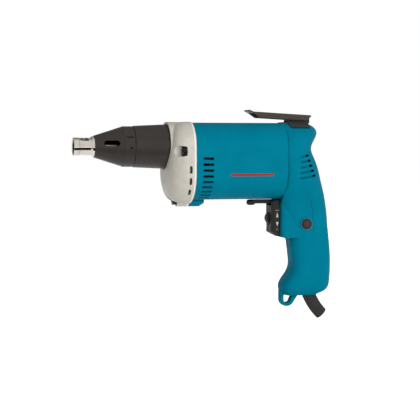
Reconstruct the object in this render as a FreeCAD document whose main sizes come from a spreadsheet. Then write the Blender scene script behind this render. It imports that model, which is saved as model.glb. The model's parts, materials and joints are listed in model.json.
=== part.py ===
import FreeCAD, Part
import math
import os
import re
import Sketcher

# Driving sizes: lengths in millimetres, angles in degrees, teeth and slots as counts
SIZES = (
    # Gaps between moving pieces
    ("slide_gap", 0.3),
    ("run_gap", 0.04),
    # Steel nose tip
    ("tip_length", 20.4),
    ("tip_radius", 8.9),
    ("tip_bore_radius", 7.2),
    ("tip_flare_radius", 10.2),
    ("tip_flare_length", 3.8),
    ("tip_band_length", 2),
    ("tip_spigot_length", 7),
    ("tip_spigot_radius", 9.2),
    ("tip_edge", 0.5),
    ("tip_ring_from", 5.1),
    ("tip_ring_width", 0.4),
    ("tip_ring_depth", 0.4),
    ("tip_rear_step", 0.2),
    ("tip_window_from", 6.4),
    ("tip_window_length", 9.4),
    ("tip_window_width", 4),
    ("tip_window_angle", 35),
    # Depth locator
    ("cone_length", 27.5),
    ("cone_front_radius", 10.9),
    ("cone_rear_radius", 19.7),
    ("band_length", 11),
    ("band_radius", 20.2),
    ("band_edge", 1),
    ("skirt_length", 27.5),
    ("skirt_radius", 16.9),
    ("skirt_bore_radius", 14.4),
    ("cone_bore_step", 3),
    ("cone_bore_taper", 14),
    ("cone_window_from", 28.8),
    ("cone_window_length", 15.2),
    ("cone_window_width", 5.4),
    ("cone_window_rise", 3.2),
    ("index_notch_length", 6),
    ("index_notch_width", 10.5),
    ("index_notch_depth", 0.5),
    ("index_notch_rise", 4),
    # Adjusting sleeve
    ("sleeve_length", 38),
    ("sleeve_front_radius", 20.7),
    ("sleeve_rear_radius", 22.2),
    ("sleeve_taper_length", 32),
    ("sleeve_edge", 0.8),
    ("sleeve_bore_radius", 17.2),
    ("sleeve_flange_length", 6.8),
    ("sleeve_groove_depth", 1.6),
    ("sleeve_groove_width", 3.6),
    ("ring_width", 1.2),
    ("ring_radius", 16),
    ("ring_seat_depth", 0.7),
    # Detent in the gear housing face
    ("ball_radius", 1.5),
    ("ball_show", 1),
    ("ball_offset", 19.6),
    ("ball_hole_depth", 6),
    ("detent_coil_radius", 1),
    ("detent_wire_radius", 0.25),
    # Bit and holder
    ("bit_tip_from", 3),
    ("bit_length", 25.4),
    ("bit_hex", 6.35),
    ("bit_neck_radius", 2.5),
    ("bit_neck_length", 8),
    ("bit_point_radius", 1),
    ("bit_point_length", 4),
    ("bit_flute_width", 1.1),
    ("holder_from", 18.4),
    ("holder_length", 34),
    ("holder_radius", 5.5),
    ("holder_shank_length", 26),
    ("holder_edge", 0.8),
    ("magnet_length", 3),
    ("hex_gap", 0.05),
    # Spindle and clutch
    ("neck_front", 64.4),
    ("neck_radius", 14.1),
    ("neck_bore_radius", 11),
    ("seal_length", 2.5),
    ("bush_length", 19.5),
    ("spindle_front", 62.4),
    ("spindle_radius", 8),
    ("spindle_socket_depth", 18),
    ("washer_width", 1.2),
    ("washer_gap", 0.4),
    ("flange_width", 3.5),
    ("flange_radius", 10.7),
    ("tail_radius", 3.9),
    ("tail_length", 11.5),
    ("dog_height", 3),
    ("dog_inner_radius", 6.9),
    ("dog_angle", 26),
    ("dog_count", 3),
    ("dog_clear", 1.4),
    ("push_travel", 4),
    ("clutch_coil_radius", 5.3),
    ("clutch_wire_radius", 0.5),
    ("clutch_coil_turns", 3),
    # Gears
    ("gear_module", 0.6),
    ("pinion_teeth", 9),
    ("gear_teeth", 53),
    ("pressure_angle", 25),
    ("tooth_backlash", 0.12),
    ("gear_width", 6.5),
    ("gear_hub_length", 1),
    ("gear_stub_radius", 6),
    ("gear_stub_length", 5.4),
    ("gear_bush_radius", 7.8),
    # Gear housing
    ("sleeve_show", 34.2),
    ("collar_radius", 24.8),
    ("collar_gap", 0.5),
    ("collar_length", 14),
    ("joint_x", 115.9),
    ("gear_house_length", 24.7),
    ("gear_house_half_width", 37.6),
    ("gear_house_top", 24.8),
    ("gear_house_bottom", 57),
    ("gear_house_wall", 5),
    ("gear_chamber_radius", 17.2),
    ("gear_chamber_length", 9),
    ("pinion_chamber_radius", 5),
    ("plate_length", 4),
    ("plate_recess_length", 7.5),
    ("plate_boss_radius", 13),
    ("side_screw_y", 33.4),
    ("side_screw_drop", 4.6),
    ("side_recess_radius", 5.4),
    ("low_screw_drop", 54.4),
    ("low_boss_radius", 6),
    ("low_boss_length", 12),
    ("low_recess_radius", 4.7),
    ("house_screw_head_radius", 4.2),
    ("house_screw_head_length", 4),
    ("house_screw_radius", 2.2),
    ("house_screw_length", 24),
    ("house_screw_seat", 9),
    ("low_screw_seat", 12),
    ("screw_socket", 4),
    ("screw_socket_depth", 2.2),
    ("gear_vent_from", 6.7),
    ("gear_vent_width", 2.6),
    ("gear_vent_length", 7.4),
    ("gear_vent_inner", 22.6),
    ("gear_vent_count", 3),
    ("gear_vent_first_angle", 6.3),
    ("gear_vent_pitch_angle", 17.4),
    # Motor housing
    ("body_half_width", 37),
    ("body_top", 24),
    ("body_bottom", 53.5),
    ("top_corner", 26),
    ("low_corner", 31.5),
    ("seam_x", 210.7),
    ("wall", 2.8),
    ("side_boss_radius", 5),
    ("boss_length", 11.5),
    ("boss_taper_length", 5),
    ("boss_taper_radius", 3),
    ("vent_from", 7),
    ("vent_length", 11),
    ("vent_width", 2.5),
    ("vent_count", 9),
    ("vent_first_angle", 10.3),
    ("vent_pitch_angle", 9),
    ("bulkhead_length", 4),
    ("bulkhead_window_width", 16),
    ("bulkhead_window_height", 24),
    ("bulkhead_window_y", 16),
    # Motor
    ("shaft_radius", 4),
    ("shaft_nose_radius", 3),
    ("shaft_tail_radius", 3.5),
    ("bearing_radius", 10),
    ("bearing_width", 6),
    ("plate_hole_radius", 3.7),
    ("tail_bearing_radius", 9),
    ("tail_sleeve_radius", 10.8),
    ("tail_boss_radius", 13.5),
    ("tail_wall", 1.5),
    ("fan_from", 121.9),
    ("fan_length", 11.5),
    ("fan_radius", 28),
    ("fan_hub_radius", 9),
    ("fan_disc_length", 1.8),
    ("fan_blade_count", 14),
    ("fan_blade_width", 1.4),
    ("fan_blade_inner_radius", 12),
    ("baffle_gap", 0.9),
    ("baffle_length", 1.6),
    ("baffle_hole_radius", 25),
    ("baffle_radius", 31),
    ("core_from", 142.4),
    ("core_length", 38),
    ("armature_radius", 17.6),
    ("armature_slot_count", 12),
    ("armature_slot_width", 2.2),
    ("armature_slot_bottom", 10),
    ("winding_length", 6),
    ("winding_radius", 15.5),
    ("winding_end_radius", 12),
    ("winding_bore_radius", 5),
    ("commutator_from", 189.9),
    ("commutator_length", 11.5),
    ("commutator_radius", 11.5),
    ("riser_radius", 13),
    ("riser_length", 2.5),
    ("commutator_bars", 24),
    ("commutator_slot_width", 0.5),
    ("commutator_slot_bottom", 9.5),
    ("field_radius", 30.5),
    ("field_ring_inner", 25),
    ("field_bore_radius", 18.3),
    ("pole_half_angle", 50),
    ("coil_half_angle", 74),
    ("coil_hole_half_angle", 53),
    ("coil_outer_radius", 24.6),
    ("coil_inner_radius", 19.4),
    ("coil_end_length", 6),
    ("coil_gap", 0.3),
    ("field_screw_y", 27.8),
    ("field_screw_radius", 1.9),
    ("field_screw_head_radius", 3.4),
    ("field_screw_head_length", 3),
    ("field_screw_tail", 9),
    ("field_boss_radius", 4.4),
    ("brush_x", 196.9),
    ("brush_width", 6),
    ("brush_height", 7),
    ("brush_length", 13),
    ("brush_start", 11.7),
    ("holder_start", 13.8),
    ("holder_end", 31.5),
    ("holder_wall", 1.4),
    ("brush_gap", 0.15),
    ("brush_wire_radius", 0.35),
    ("brush_coil_radius", 2),
    ("brush_coil_turns", 3),
    ("lead_radius", 1),
    ("lead_brush_y", 25),
    ("lead_window_y", 22),
    ("lead_window_drop", 26.8),
    ("lead_switch_x", 236.4),
    ("lead_switch_y", 7),
    ("lead_bend", 8),
    # Handle shells
    ("shell_height", 177.6),
    ("shell_depth", 57),
    ("groove_count", 5),
    ("groove_depth", 1.3),
    ("groove_width", 2.2),
    ("groove_from", 13.4),
    ("groove_pitch", 5.4),
    ("groove_drop", 10.4),
    ("groove_tilt", 9),
    ("groove_length", 10),
    ("groove_step", 2.1),
    ("groove_hole_length", 3.6),
    ("surround_half_width", 16.9),
    ("surround_depth", 24),
    ("surround_top", 69),
    ("surround_bottom", 117.5),
    ("surround_lip_slope", 4),
    ("surround_lip_rise", 1.3),
    ("surround_corner", 5),
    ("eye_front", 2.9),
    ("eye_depth", 20.5),
    ("eye_lead", 6),
    ("eye_lead_height", 12),
    ("eye_top", 158),
    ("eye_bottom", 189),
    ("eye_half_width", 4.3),
    ("eye_corner", 7),
    ("eye_edge", 1.6),
    ("eye_hole_front", 6.9),
    ("eye_hole_depth", 9.6),
    ("eye_hole_top", 176.2),
    ("eye_hole_height", 9),
    ("eye_hole_corner", 2.6),
    ("boss_radius", 4),
    ("handle_screw_radius", 1.7),
    ("handle_screw_length", 22),
    ("handle_screw_head_radius", 3.4),
    ("handle_screw_head_length", 2.6),
    ("handle_screw_pocket_radius", 3.8),
    # Switch, trigger, dial, lever and lock button
    ("switch_from", 221.4),
    ("switch_length", 30),
    ("switch_half_width", 11),
    ("switch_top", 60.4),
    ("switch_height", 32),
    ("switch_edge", 1.5),
    ("trigger_front", 201.8),
    ("trigger_rear", 214),
    ("trigger_top", 54.5),
    ("trigger_bottom", 91),
    ("trigger_toe", 5.5),
    ("trigger_toe_height", 3.2),
    ("trigger_half_width", 11.3),
    ("trigger_corner", 1.8),
    ("trigger_edge", 4),
    ("trigger_window_half_width", 11.8),
    ("trigger_window_margin", 0.5),
    ("lever_slot_half_width", 8.3),
    ("lever_slot_floor", 60.2),
    ("plunger_radius", 2),
    ("plunger_length", 11),
    ("plunger_drop", 86),
    ("trigger_coil_radius", 3.3),
    ("trigger_wire_radius", 0.35),
    ("trigger_coil_turns", 4),
    ("dial_radius", 6.8),
    ("dial_half_width", 4),
    ("dial_drop", 73.6),
    ("dial_show", 3.4),
    ("dial_gap", 0.5),
    ("dial_pin_radius", 1.5),
    ("dial_knurl_count", 24),
    ("dial_knurl_width", 0.9),
    ("dial_knurl_depth", 0.6),
    ("lever_front", 178.2),
    ("lever_tip_radius", 4.6),
    ("lever_half_width", 3.6),
    ("lever_top", 54.2),
    ("lever_height", 5.6),
    ("lever_tip_edge", 2.4),
    ("lever_arm_height", 4),
    ("lever_pivot_x", 224.9),
    ("lever_hub_radius", 5),
    ("lever_pin_radius", 2),
    ("button_x", 237.2),
    ("button_drop", 79.2),
    ("button_radius", 4.9),
    ("button_face", 18.6),
    ("button_length", 4.8),
    ("button_hollow_radius", 2.9),
    ("button_hollow_depth", 0.5),
    ("button_rim_radius", 6.6),
    ("button_rim_face", 18.1),
    ("dish_radius", 26),
    ("dish_depth", 1.3),
    ("dish_shift", 2.5),
    ("button_coil_radius", 2.2),
    ("button_wire_radius", 0.3),
    ("button_coil_turns", 3),
    ("capacitor_from", 235.4),
    ("capacitor_length", 20),
    ("capacitor_half_width", 8),
    ("capacitor_top", 100),
    ("capacitor_height", 15),
    ("clamp_from", 230.2),
    ("clamp_length", 22),
    ("clamp_thickness", 4),
    ("clamp_from_middle", 3.6),
    ("clamp_top", 129),
    ("clamp_height", 6),
    ("clamp_post_radius", 2.9),
    ("clamp_post_inset", 3),
    ("clamp_screw_radius", 1.5),
    ("clamp_screw_head_radius", 2.7),
    ("clamp_screw_head_height", 2),
    ("clamp_screw_length", 10),
    # Cord guard
    ("guard_x", 243.4),
    ("guard_top", 145),
    ("guard_length", 34),
    ("guard_tilt", 13),
    ("guard_bend", 33),
    ("guard_radius", 7.1),
    ("guard_end_radius", 6.5),
    ("guard_bore_radius", 3.6),
    ("guard_flange_radius", 9),
    ("guard_flange_height", 3),
    ("cord_radius", 3.5),
    ("cord_inner_x", 241.2),
    ("cord_inner_top", 116.5),
    # Belt clip
    ("clip_front", 178.6),
    ("clip_rear", 244.4),
    ("clip_front_rise", 35.8),
    ("clip_rear_rise", 32.2),
    ("clip_half_width", 10),
    ("clip_metal", 1.3),
    ("clip_flange_height", 5.8),
    ("clip_flange_from", 4),
    ("clip_flange_slope", 7),
    ("clip_lip_length", 4),
    ("clip_lip_rise", 1.6),
    ("clip_point_length", 5),
    ("base_from", 221),
    ("base_length", 22),
    ("base_half_width", 8.4),
    ("saddle_lead", 4),
    ("saddle_half_width", 17),
    ("saddle_drop", 4.5),
    ("saddle_thickness", 2),
    ("saddle_rise", 1.2),
    ("clip_screw_radius", 1.8),
    ("clip_screw_head_radius", 3.2),
    ("clip_screw_head_height", 1.8),
    ("clip_screw_length", 9),
    ("clip_screw_y", 4.6),
)

# Stations along the tool, from the front of the nose tip to the rear
BAND_X = "(tip_length + cone_length)"
BAND_END = f"({BAND_X} + band_length)"
SKIRT_END = f"({BAND_END} + skirt_length)"
SLEEVE_X = f"({BAND_END} + slide_gap)"
SLEEVE_END = f"({SLEEVE_X} + sleeve_length)"
COLLAR_X = f"({SLEEVE_X} + sleeve_show)"
POCKET_END = f"({SLEEVE_END} + slide_gap)"
HOLDER_END = "(holder_from + holder_length)"
BIT_END = "(bit_tip_from + bit_length)"
BUSH_X = "(neck_front + seal_length)"
BUSH_END = f"({BUSH_X} + bush_length)"
WASHER_X = f"({BUSH_END} + washer_gap)"
FLANGE_X = f"({WASHER_X} + washer_width + washer_gap)"
FLANGE_END = f"({FLANGE_X} + flange_width)"
HUB_X = f"({FLANGE_END} + 2 * dog_height + dog_clear)"
GEAR_X = f"({HUB_X} + gear_hub_length)"
GEAR_END = f"({GEAR_X} + gear_width)"
STUB_END = f"({GEAR_END} + gear_stub_length)"
PLATE_X = "(joint_x - plate_recess_length)"
PLATE_END = f"({PLATE_X} + plate_length)"
CHAMBER_X = f"({PLATE_X} - gear_chamber_length)"
BEARING_END = f"({PLATE_END} + bearing_width)"
CORE_END = "(core_from + core_length)"
COMMUTATOR_END = "(commutator_from + commutator_length)"
FAN_END = "(fan_from + fan_length)"
TAIL_BEARING_X = "(seam_x - bearing_width - tail_wall)"
SWITCH_END = "(switch_from + switch_length)"
# Height of the motor's line below the spindle's
AXIS_DROP = "(gear_module * (pinion_teeth + gear_teeth) / 2)"

# Tooth proportions, in modules
ADDENDUM_SHARE = 0.8
DEDENDUM_SHARE = 1.0

# Gear housing sections from front to rear: place along it, half width, top and bottom
GEAR_HOUSE_SHARES = (
    (0, 0.4, -0.32, 0.66),
    (0.04, 0.54, 0.08, 0.74),
    (0.13, 0.7, 0.48, 0.86),
    (0.3, 0.855, 0.81, 0.945),
    (0.563, 0.965, 0.97, 0.9875),
    (0.772, 0.995, 1, 1),
    (1, 1, 1, 1),
)
GEAR_HOUSE_TOP_CORNER_SHARE = 0.69
GEAR_HOUSE_LOW_CORNER_SHARE = 0.84

# Handle shell sections from top to bottom: place down it, front, rear, half width, rear corner
SHELL_SHARES = (
    (0, -0.216, 0.547, 0.405, 0.85),
    (0.02, -0.216, 0.645, 0.635, 0.87),
    (0.05, -0.216, 0.7, 0.815, 0.86),
    (0.095, -0.216, 0.622, 0.935, 0.7),
    (0.146, -0.216, 0.542, 0.989, 0.62),
    (0.202, -0.216, 0.61, 0.997, 0.67),
    (0.269, -0.216, 0.706, 0.984, 0.76),
    (0.336, -0.198, 0.777, 0.9, 0.83),
    (0.398, -0.146, 0.843, 0.75, 0.86),
    (0.454, -0.058, 0.886, 0.61, 0.86),
    (0.515, 0.036, 0.918, 0.52, 0.85),
    (0.594, 0.14, 0.946, 0.476, 0.84),
    (0.683, 0.21, 0.975, 0.459, 0.84),
    (0.762, 0.243, 0.995, 0.459, 0.84),
    (0.829, 0.25, 0.998, 0.459, 0.84),
    (0.868, 0.203, 0.995, 0.457, 0.84),
    (0.908, 0.112, 0.986, 0.446, 0.84),
    (0.952, 0.062, 0.962, 0.419, 0.84),
    (0.98, 0.086, 0.878, 0.359, 0.84),
    (1, 0.153, 0.75, 0.257, 0.84),
)
# The front corner, and the least flat left along the side between the corners
FRONT_CORNER_SHARE = 0.7
SIDE_FLAT_SHARE = 0.035
# Level part of the cord eye's foot
EYE_FLAT_SHARE = 0.58

# Handle screws: place along the shell, place down it, and the head's depth from the middle
HANDLE_SCREW_SHARES = (
    (0.55, 0.08, 0.36),
    (0.8, 0.41, 0.34),
    (0.37, 0.68, 0.22),
    (0.86, 0.73, 0.22),
    (0.28, 0.905, 0.2),
)

doc = FreeCAD.newDocument("drywall_screwdriver")
sheet = doc.addObject("Spreadsheet::Sheet", "dims")
for row, (alias, value) in enumerate(SIZES, start=1):
    sheet.set(f"A{row}", alias)
    sheet.set(f"B{row}", str(value))
    sheet.setAlias(f"B{row}", alias)
doc.recompute()
ALIASES = {alias for alias, value in SIZES}

SAME_POINT = 1e-6
ALONG_X = FreeCAD.Rotation(FreeCAD.Vector(0, 1, 0), 90)
ALONG_Y = FreeCAD.Rotation(FreeCAD.Vector(1, 0, 0), -90)
UPRIGHT = FreeCAD.Rotation()
pieces = []


def val(formula):
    """The number that a formula of named sizes comes to."""
    return float(sheet.evalExpression(formula))


def bound(formula):
    """The formula with each size named as a cell of the sheet."""
    def cell(word):
        return f"dims.{word.group()}" if word.group() in ALIASES else word.group()

    return re.sub(r"[a-z][a-z0-9_]*", cell, formula)


def keep(label, thing):
    """Names a finished piece."""
    thing.Label = label
    pieces.append(thing)
    return thing


def put(thing, at, turn=UPRIGHT):
    """Places a thing, its position bound to the sheet."""
    thing.Placement = FreeCAD.Placement(FreeCAD.Vector(*(val(a) for a in at)), turn)
    for axis, formula in zip("xyz", at):
        thing.setExpression(f"Placement.Base.{axis}", bound(formula))
    return thing


def block(name, size, at, turn=UPRIGHT):
    """A box with its low corner at a point."""
    box = doc.addObject("Part::Box", name)
    for side, formula in zip(("Length", "Width", "Height"), size):
        box.setExpression(side, bound(formula))
    return put(box, at, turn)


def rod(name, radius, length, at, turn=ALONG_X):
    """A cylinder from a point along the turned axis."""
    cylinder = doc.addObject("Part::Cylinder", name)
    cylinder.setExpression("Radius", bound(radius))
    cylinder.setExpression("Height", bound(length))
    return put(cylinder, at, turn)


def hexagon(name, across, length, at):
    """A six-sided bar along X, as wide across its flats as named."""
    prism = doc.addObject("Part::Prism", name)
    prism.Polygon = 6
    prism.setExpression("Circumradius", bound(f"{across} / sqrt(3)"))
    prism.setExpression("Height", bound(length))
    return put(prism, at, ALONG_X)


def fused(name, things):
    """Several things as one."""
    joined = doc.addObject("Part::MultiFuse", name)
    joined.Shapes = things
    return joined


def less(name, base, tools):
    """A thing with others cut out of it."""
    cut = doc.addObject("Part::Cut", name)
    cut.Base = base
    cut.Tool = tools[0] if len(tools) == 1 else fused(name + "_tools", tools)
    return cut


def grouped(name, things):
    """Like things that share a name but don't touch."""
    group = doc.addObject("Part::Compound", name)
    group.Links = things
    return group


def formed(name, shape):
    """A thing whose shape is worked out from the sheet's sizes."""
    feature = doc.addObject("Part::Feature", name)
    feature.Shape = shape
    return feature


def plane_of(body, role):
    """One of the body's own origin planes."""
    return next(f for f in body.Origin.OriginFeatures if f.Role == role)


def outlined(body, name, role, outline):
    """A closed sketch on an origin plane, each corner tied to the sheet by its two formulas."""
    sketch = body.newObject("Sketcher::SketchObject", name)
    sketch.AttachmentSupport = [(plane_of(body, role), "")]
    sketch.MapMode = "FlatFace"
    corners = [FreeCAD.Vector(val(a), val(b), 0) for a, b in outline]
    count = len(corners)
    for i, corner in enumerate(corners):
        sketch.addGeometry(Part.LineSegment(corner, corners[(i + 1) % count]), False)
    for i in range(count):
        sketch.addConstraint(Sketcher.Constraint("Coincident", i, 2, (i + 1) % count, 1))
    for i, pair in enumerate(outline):
        for kind, axis, formula in zip(("DistanceX", "DistanceY"), (-2, -1), pair):
            if formula == "0":
                sketch.addConstraint(Sketcher.Constraint("PointOnObject", i, 1, axis))
                continue
            at = sketch.addConstraint(Sketcher.Constraint(kind, -1, 1, i, 1, val(formula)))
            sketch.setExpression(f"Constraints[{at}]", bound(formula))
    return sketch


def turned(name, outline, drop="0"):
    """A body turned about a line along X, drop below the spindle's; outline is place along and radius."""
    body = doc.addObject("PartDesign::Body", name)
    sketch = outlined(body, name + "_profile", "XZ_Plane", outline)
    turn = body.newObject("PartDesign::Revolution", name + "_turn")
    turn.Profile = sketch
    turn.ReferenceAxis = (sketch, ["H_Axis"])
    turn.Angle = 360
    return put(body, ("0", "0", f"-{drop}"))


def slotted(name, outline, drop, width, bottom, reach, count, length):
    """A turned body with slots along it, cut from the radius bottom outwards and spread round the line."""
    body = turned(name, outline, drop)
    half = f"{width} / 2"
    corners = ((f"-{half}", bottom), (half, bottom), (half, reach), (f"-{half}", reach))
    sketch = outlined(body, name + "_slot", "YZ_Plane", corners)
    pocket = body.newObject("PartDesign::Pocket", name + "_cut")
    pocket.Profile = sketch
    pocket.Reversed = True
    pocket.setExpression("Length", bound(length))
    spread = body.newObject("PartDesign::PolarPattern", name + "_slots")
    spread.Originals = [pocket]
    spread.Axis = (plane_of(body, "X_Axis"), [""])
    spread.Angle = 360
    spread.setExpression("Occurrences", bound(count))
    body.Tip = spread
    return body


def padded(name, outline, half_width):
    """A body of an outline in the tool's upright middle plane, as wide to each side."""
    body = doc.addObject("PartDesign::Body", name)
    sketch = outlined(body, name + "_profile", "XZ_Plane", outline)
    pad = body.newObject("PartDesign::Pad", name + "_pad")
    pad.Profile = sketch
    pad.SideType = "Symmetric"
    pad.setExpression("Length", bound(f"2 * {half_width}"))
    return body


def loop(points, radii, lift):
    """A closed wire round corner points, each rounded by its radius; lift sets a flat point in space."""
    flat = [FreeCAD.Vector(a, b, 0) for a, b in points]
    turns = []
    for i, corner in enumerate(flat):
        back = (flat[i - 1] - corner).normalize()
        on = (flat[(i + 1) % len(flat)] - corner).normalize()
        half = back.getAngle(on) / 2
        inward = (back + on).normalize()
        reach = radii[i] / math.tan(half)
        middle = corner + inward * (radii[i] / math.sin(half) - radii[i])
        turns.append((corner + back * reach, middle, corner + on * reach))
    edges = []
    for i, (start, middle, end) in enumerate(turns):
        if radii[i]:
            edges.append(Part.Arc(lift(start), lift(middle), lift(end)).toShape())
        follow = turns[(i + 1) % len(turns)][0]
        if end.distanceToPoint(follow) > SAME_POINT:
            edges.append(Part.LineSegment(lift(end), lift(follow)).toShape())
    return Part.Wire(edges)


def across(x):
    """Sets a flat point in the plane across the tool at x."""
    return lambda p: FreeCAD.Vector(x, p.x, p.y)


def level(z):
    """Sets a flat point in the level plane at height z."""
    return lambda p: FreeCAD.Vector(p.x, p.y, z)


def upright(y):
    """Sets a flat point in the upright plane at y."""
    return lambda p: FreeCAD.Vector(p.x, y, p.y)


def bar(x_from, x_to, radius, y=0, z=0):
    """A round bar along X."""
    start = FreeCAD.Vector(x_from, y, z)
    return Part.makeCylinder(radius, x_to - x_from, start, FreeCAD.Vector(1, 0, 0))


def sector(inner, outer, middle_angle, half_angle, x_from, x_to, drop):
    """Part of a ring about a line along X, its angles in degrees from +Y towards +Z."""
    low = math.radians(middle_angle - half_angle)
    high = math.radians(middle_angle + half_angle)
    centre = (low + high) / 2

    def at(radius, angle):
        return FreeCAD.Vector(x_from, radius * math.cos(angle), radius * math.sin(angle) - drop)

    edges = [
        Part.Arc(at(inner, low), at(inner, centre), at(inner, high)).toShape(),
        Part.LineSegment(at(inner, high), at(outer, high)).toShape(),
        Part.Arc(at(outer, high), at(outer, centre), at(outer, low)).toShape(),
        Part.LineSegment(at(outer, low), at(inner, low)).toShape(),
    ]
    return Part.Face(Part.Wire(edges)).extrude(FreeCAD.Vector(x_to - x_from, 0, 0))


def spring(radius, wire, length, turns, start, along):
    """A coil spring from a point along a direction, within length over all."""
    rise = length - 2 * wire
    helix = Part.Wire(Part.makeLongHelix(rise / turns, rise, radius).Edges)
    ring = Part.Wire(Part.makeCircle(wire, FreeCAD.Vector(radius, 0, 0), FreeCAD.Vector(0, 1, 0)))
    coil = helix.makePipeShell([ring], True, True)
    lifted = FreeCAD.Vector(*along) * wire
    turn = FreeCAD.Rotation(FreeCAD.Vector(0, 0, 1), FreeCAD.Vector(*along))
    coil.Placement = FreeCAD.Placement(FreeCAD.Vector(*start) + lifted, turn)
    return coil


def gear_wire(teeth, first_angle):
    """The outline of an involute gear about the origin, one tooth centred on first_angle."""
    module = val("gear_module")
    pressure = math.radians(val("pressure_angle"))
    pitch = module * teeth / 2
    base = pitch * math.cos(pressure)
    tip = pitch + ADDENDUM_SHARE * module
    root = pitch - DEDENDUM_SHARE * module
    half = math.pi / (2 * teeth) - val("tooth_backlash") / (4 * pitch)

    def spread(radius):
        lean = math.acos(min(1, base / radius))
        return half + math.tan(pressure) - pressure - math.tan(lean) + lean

    def at(radius, angle):
        return FreeCAD.Vector(0, radius * math.cos(angle), radius * math.sin(angle))

    start = max(base, root)
    middle = (start + tip) / 2
    step = 2 * math.pi / teeth
    edges = []
    for tooth in range(int(teeth)):
        centre = first_angle + tooth * step
        low = [at(r, centre - spread(r)) for r in (start, middle, tip)]
        high = [at(r, centre + spread(r)) for r in (tip, middle, start)]
        foot = at(root, centre - spread(start))
        heel = at(root, centre + spread(start))
        if start > root:
            edges.append(Part.LineSegment(foot, low[0]).toShape())
        edges.append(Part.Arc(*low).toShape())
        edges.append(Part.Arc(low[2], at(tip, centre), high[0]).toShape())
        edges.append(Part.Arc(*high).toShape())
        if start > root:
            edges.append(Part.LineSegment(high[2], heel).toShape())
        beyond = at(root, centre + step - spread(start))
        edges.append(Part.Arc(heel, at(root, centre + step / 2), beyond).toShape())
    return Part.Wire(edges)


def slot_tool(x_from, length, width, near, far, tilt, rise):
    """A round-ended cutter along the spindle's line, tilted about it and raised, from near to far across it."""
    half = width / 2
    points = ((x_from, -half), (x_from + length, -half), (x_from + length, half), (x_from, half))
    face = Part.Face(loop(points, [half] * 4, level(near)))
    tool = face.extrude(FreeCAD.Vector(0, 0, far - near))
    tool.rotate(FreeCAD.Vector(), FreeCAD.Vector(1, 0, 0), tilt)
    tool.translate(FreeCAD.Vector(0, 0, rise))
    return tool


# Steel nose tip with a turned line round it and a window on two sides
tip_blank = turned("nose_tip_blank", (
    ("tip_edge", "tip_bore_radius"),
    ("0", "tip_bore_radius + tip_edge"),
    ("0", "tip_radius"),
    ("tip_ring_from", "tip_radius"),
    ("tip_ring_from", "tip_radius - tip_ring_depth"),
    ("tip_ring_from + tip_ring_width", "tip_radius - tip_ring_depth"),
    ("tip_ring_from + tip_ring_width", "tip_radius - tip_rear_step"),
    ("tip_length - tip_flare_length", "tip_radius - tip_rear_step"),
    ("tip_length - tip_band_length", "tip_flare_radius"),
    ("tip_length", "tip_flare_radius"),
    ("tip_length", "tip_spigot_radius"),
    ("tip_length + tip_spigot_length", "tip_spigot_radius"),
    ("tip_length + tip_spigot_length", "tip_bore_radius"),
))
tip_windows = formed("tip_windows", slot_tool(
    val("tip_window_from"), val("tip_window_length"), val("tip_window_width"),
    -val("tip_flare_radius"), val("tip_flare_radius"), val("tip_window_angle"), 0,
))
keep("nose_tip", less("nose_tip_cut", tip_blank, [tip_windows]))

# Depth locator: cone, band and the skirt that slides on the housing neck
locator_blank = turned("locator_blank", (
    ("tip_length", "tip_spigot_radius"),
    ("tip_length", "cone_front_radius"),
    (BAND_X, "cone_rear_radius"),
    (f"{BAND_X} + band_edge", "band_radius"),
    (BAND_END, "band_radius"),
    (BAND_END, "skirt_radius"),
    (SKIRT_END, "skirt_radius"),
    (SKIRT_END, "skirt_bore_radius"),
    ("tip_length + tip_spigot_length + cone_bore_step + cone_bore_taper", "skirt_bore_radius"),
    ("tip_length + tip_spigot_length + cone_bore_step", "tip_spigot_radius"),
))
cone_window = formed("cone_window", slot_tool(
    val("cone_window_from"), val("cone_window_length"), val("cone_window_width"),
    0, val("band_radius"), 90, val("cone_window_rise"),
))
index_notch = block(
    "index_notch",
    ("index_notch_length", "index_notch_depth", "index_notch_width"),
    (f"{BAND_END} - index_notch_length", "-band_radius", "index_notch_rise - index_notch_width / 2"),
)
keep("depth_locator", less("locator_cut", locator_blank, [cone_window, index_notch]))

# Adjusting sleeve, its retaining ring, and the detent behind it
GROOVE_LOW = "(ball_offset - sleeve_groove_width / 2)"
GROOVE_HIGH = "(ball_offset + sleeve_groove_width / 2)"
GROOVE_X = f"({SLEEVE_END} - sleeve_groove_depth)"
FLANGE_FRONT = f"({SLEEVE_END} - sleeve_flange_length)"
keep("adjusting_sleeve", turned("adjusting_sleeve_body", (
    (SLEEVE_X, "sleeve_bore_radius"),
    (SLEEVE_X, "sleeve_front_radius - sleeve_edge"),
    (f"{SLEEVE_X} + sleeve_edge", "sleeve_front_radius"),
    (f"{SLEEVE_X} + sleeve_taper_length", "sleeve_rear_radius"),
    (SLEEVE_END, "sleeve_rear_radius"),
    (SLEEVE_END, GROOVE_HIGH),
    (GROOVE_X, GROOVE_HIGH),
    (GROOVE_X, GROOVE_LOW),
    (SLEEVE_END, GROOVE_LOW),
    (SLEEVE_END, "neck_radius + slide_gap"),
    (FLANGE_FRONT, "neck_radius + slide_gap"),
    (FLANGE_FRONT, "sleeve_bore_radius"),
)))
RING_END = f"({FLANGE_FRONT} - slide_gap)"
RING_X = f"({RING_END} - ring_width)"
keep("sleeve_ring", turned("sleeve_ring_body", (
    (RING_X, "neck_radius - ring_seat_depth"),
    (RING_X, "ring_radius"),
    (RING_END, "ring_radius"),
    (RING_END, "neck_radius - ring_seat_depth"),
)))
ball = doc.addObject("Part::Sphere", "detent_ball_round")
ball.setExpression("Radius", bound("ball_radius"))
put(ball, (f"{POCKET_END} - ball_show + ball_radius", "0", "ball_offset"))
keep("detent_ball", ball)
BALL_BACK = f"({POCKET_END} - ball_show + 2 * ball_radius)"
BALL_HOLE_END = f"({POCKET_END} + ball_hole_depth)"
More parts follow.
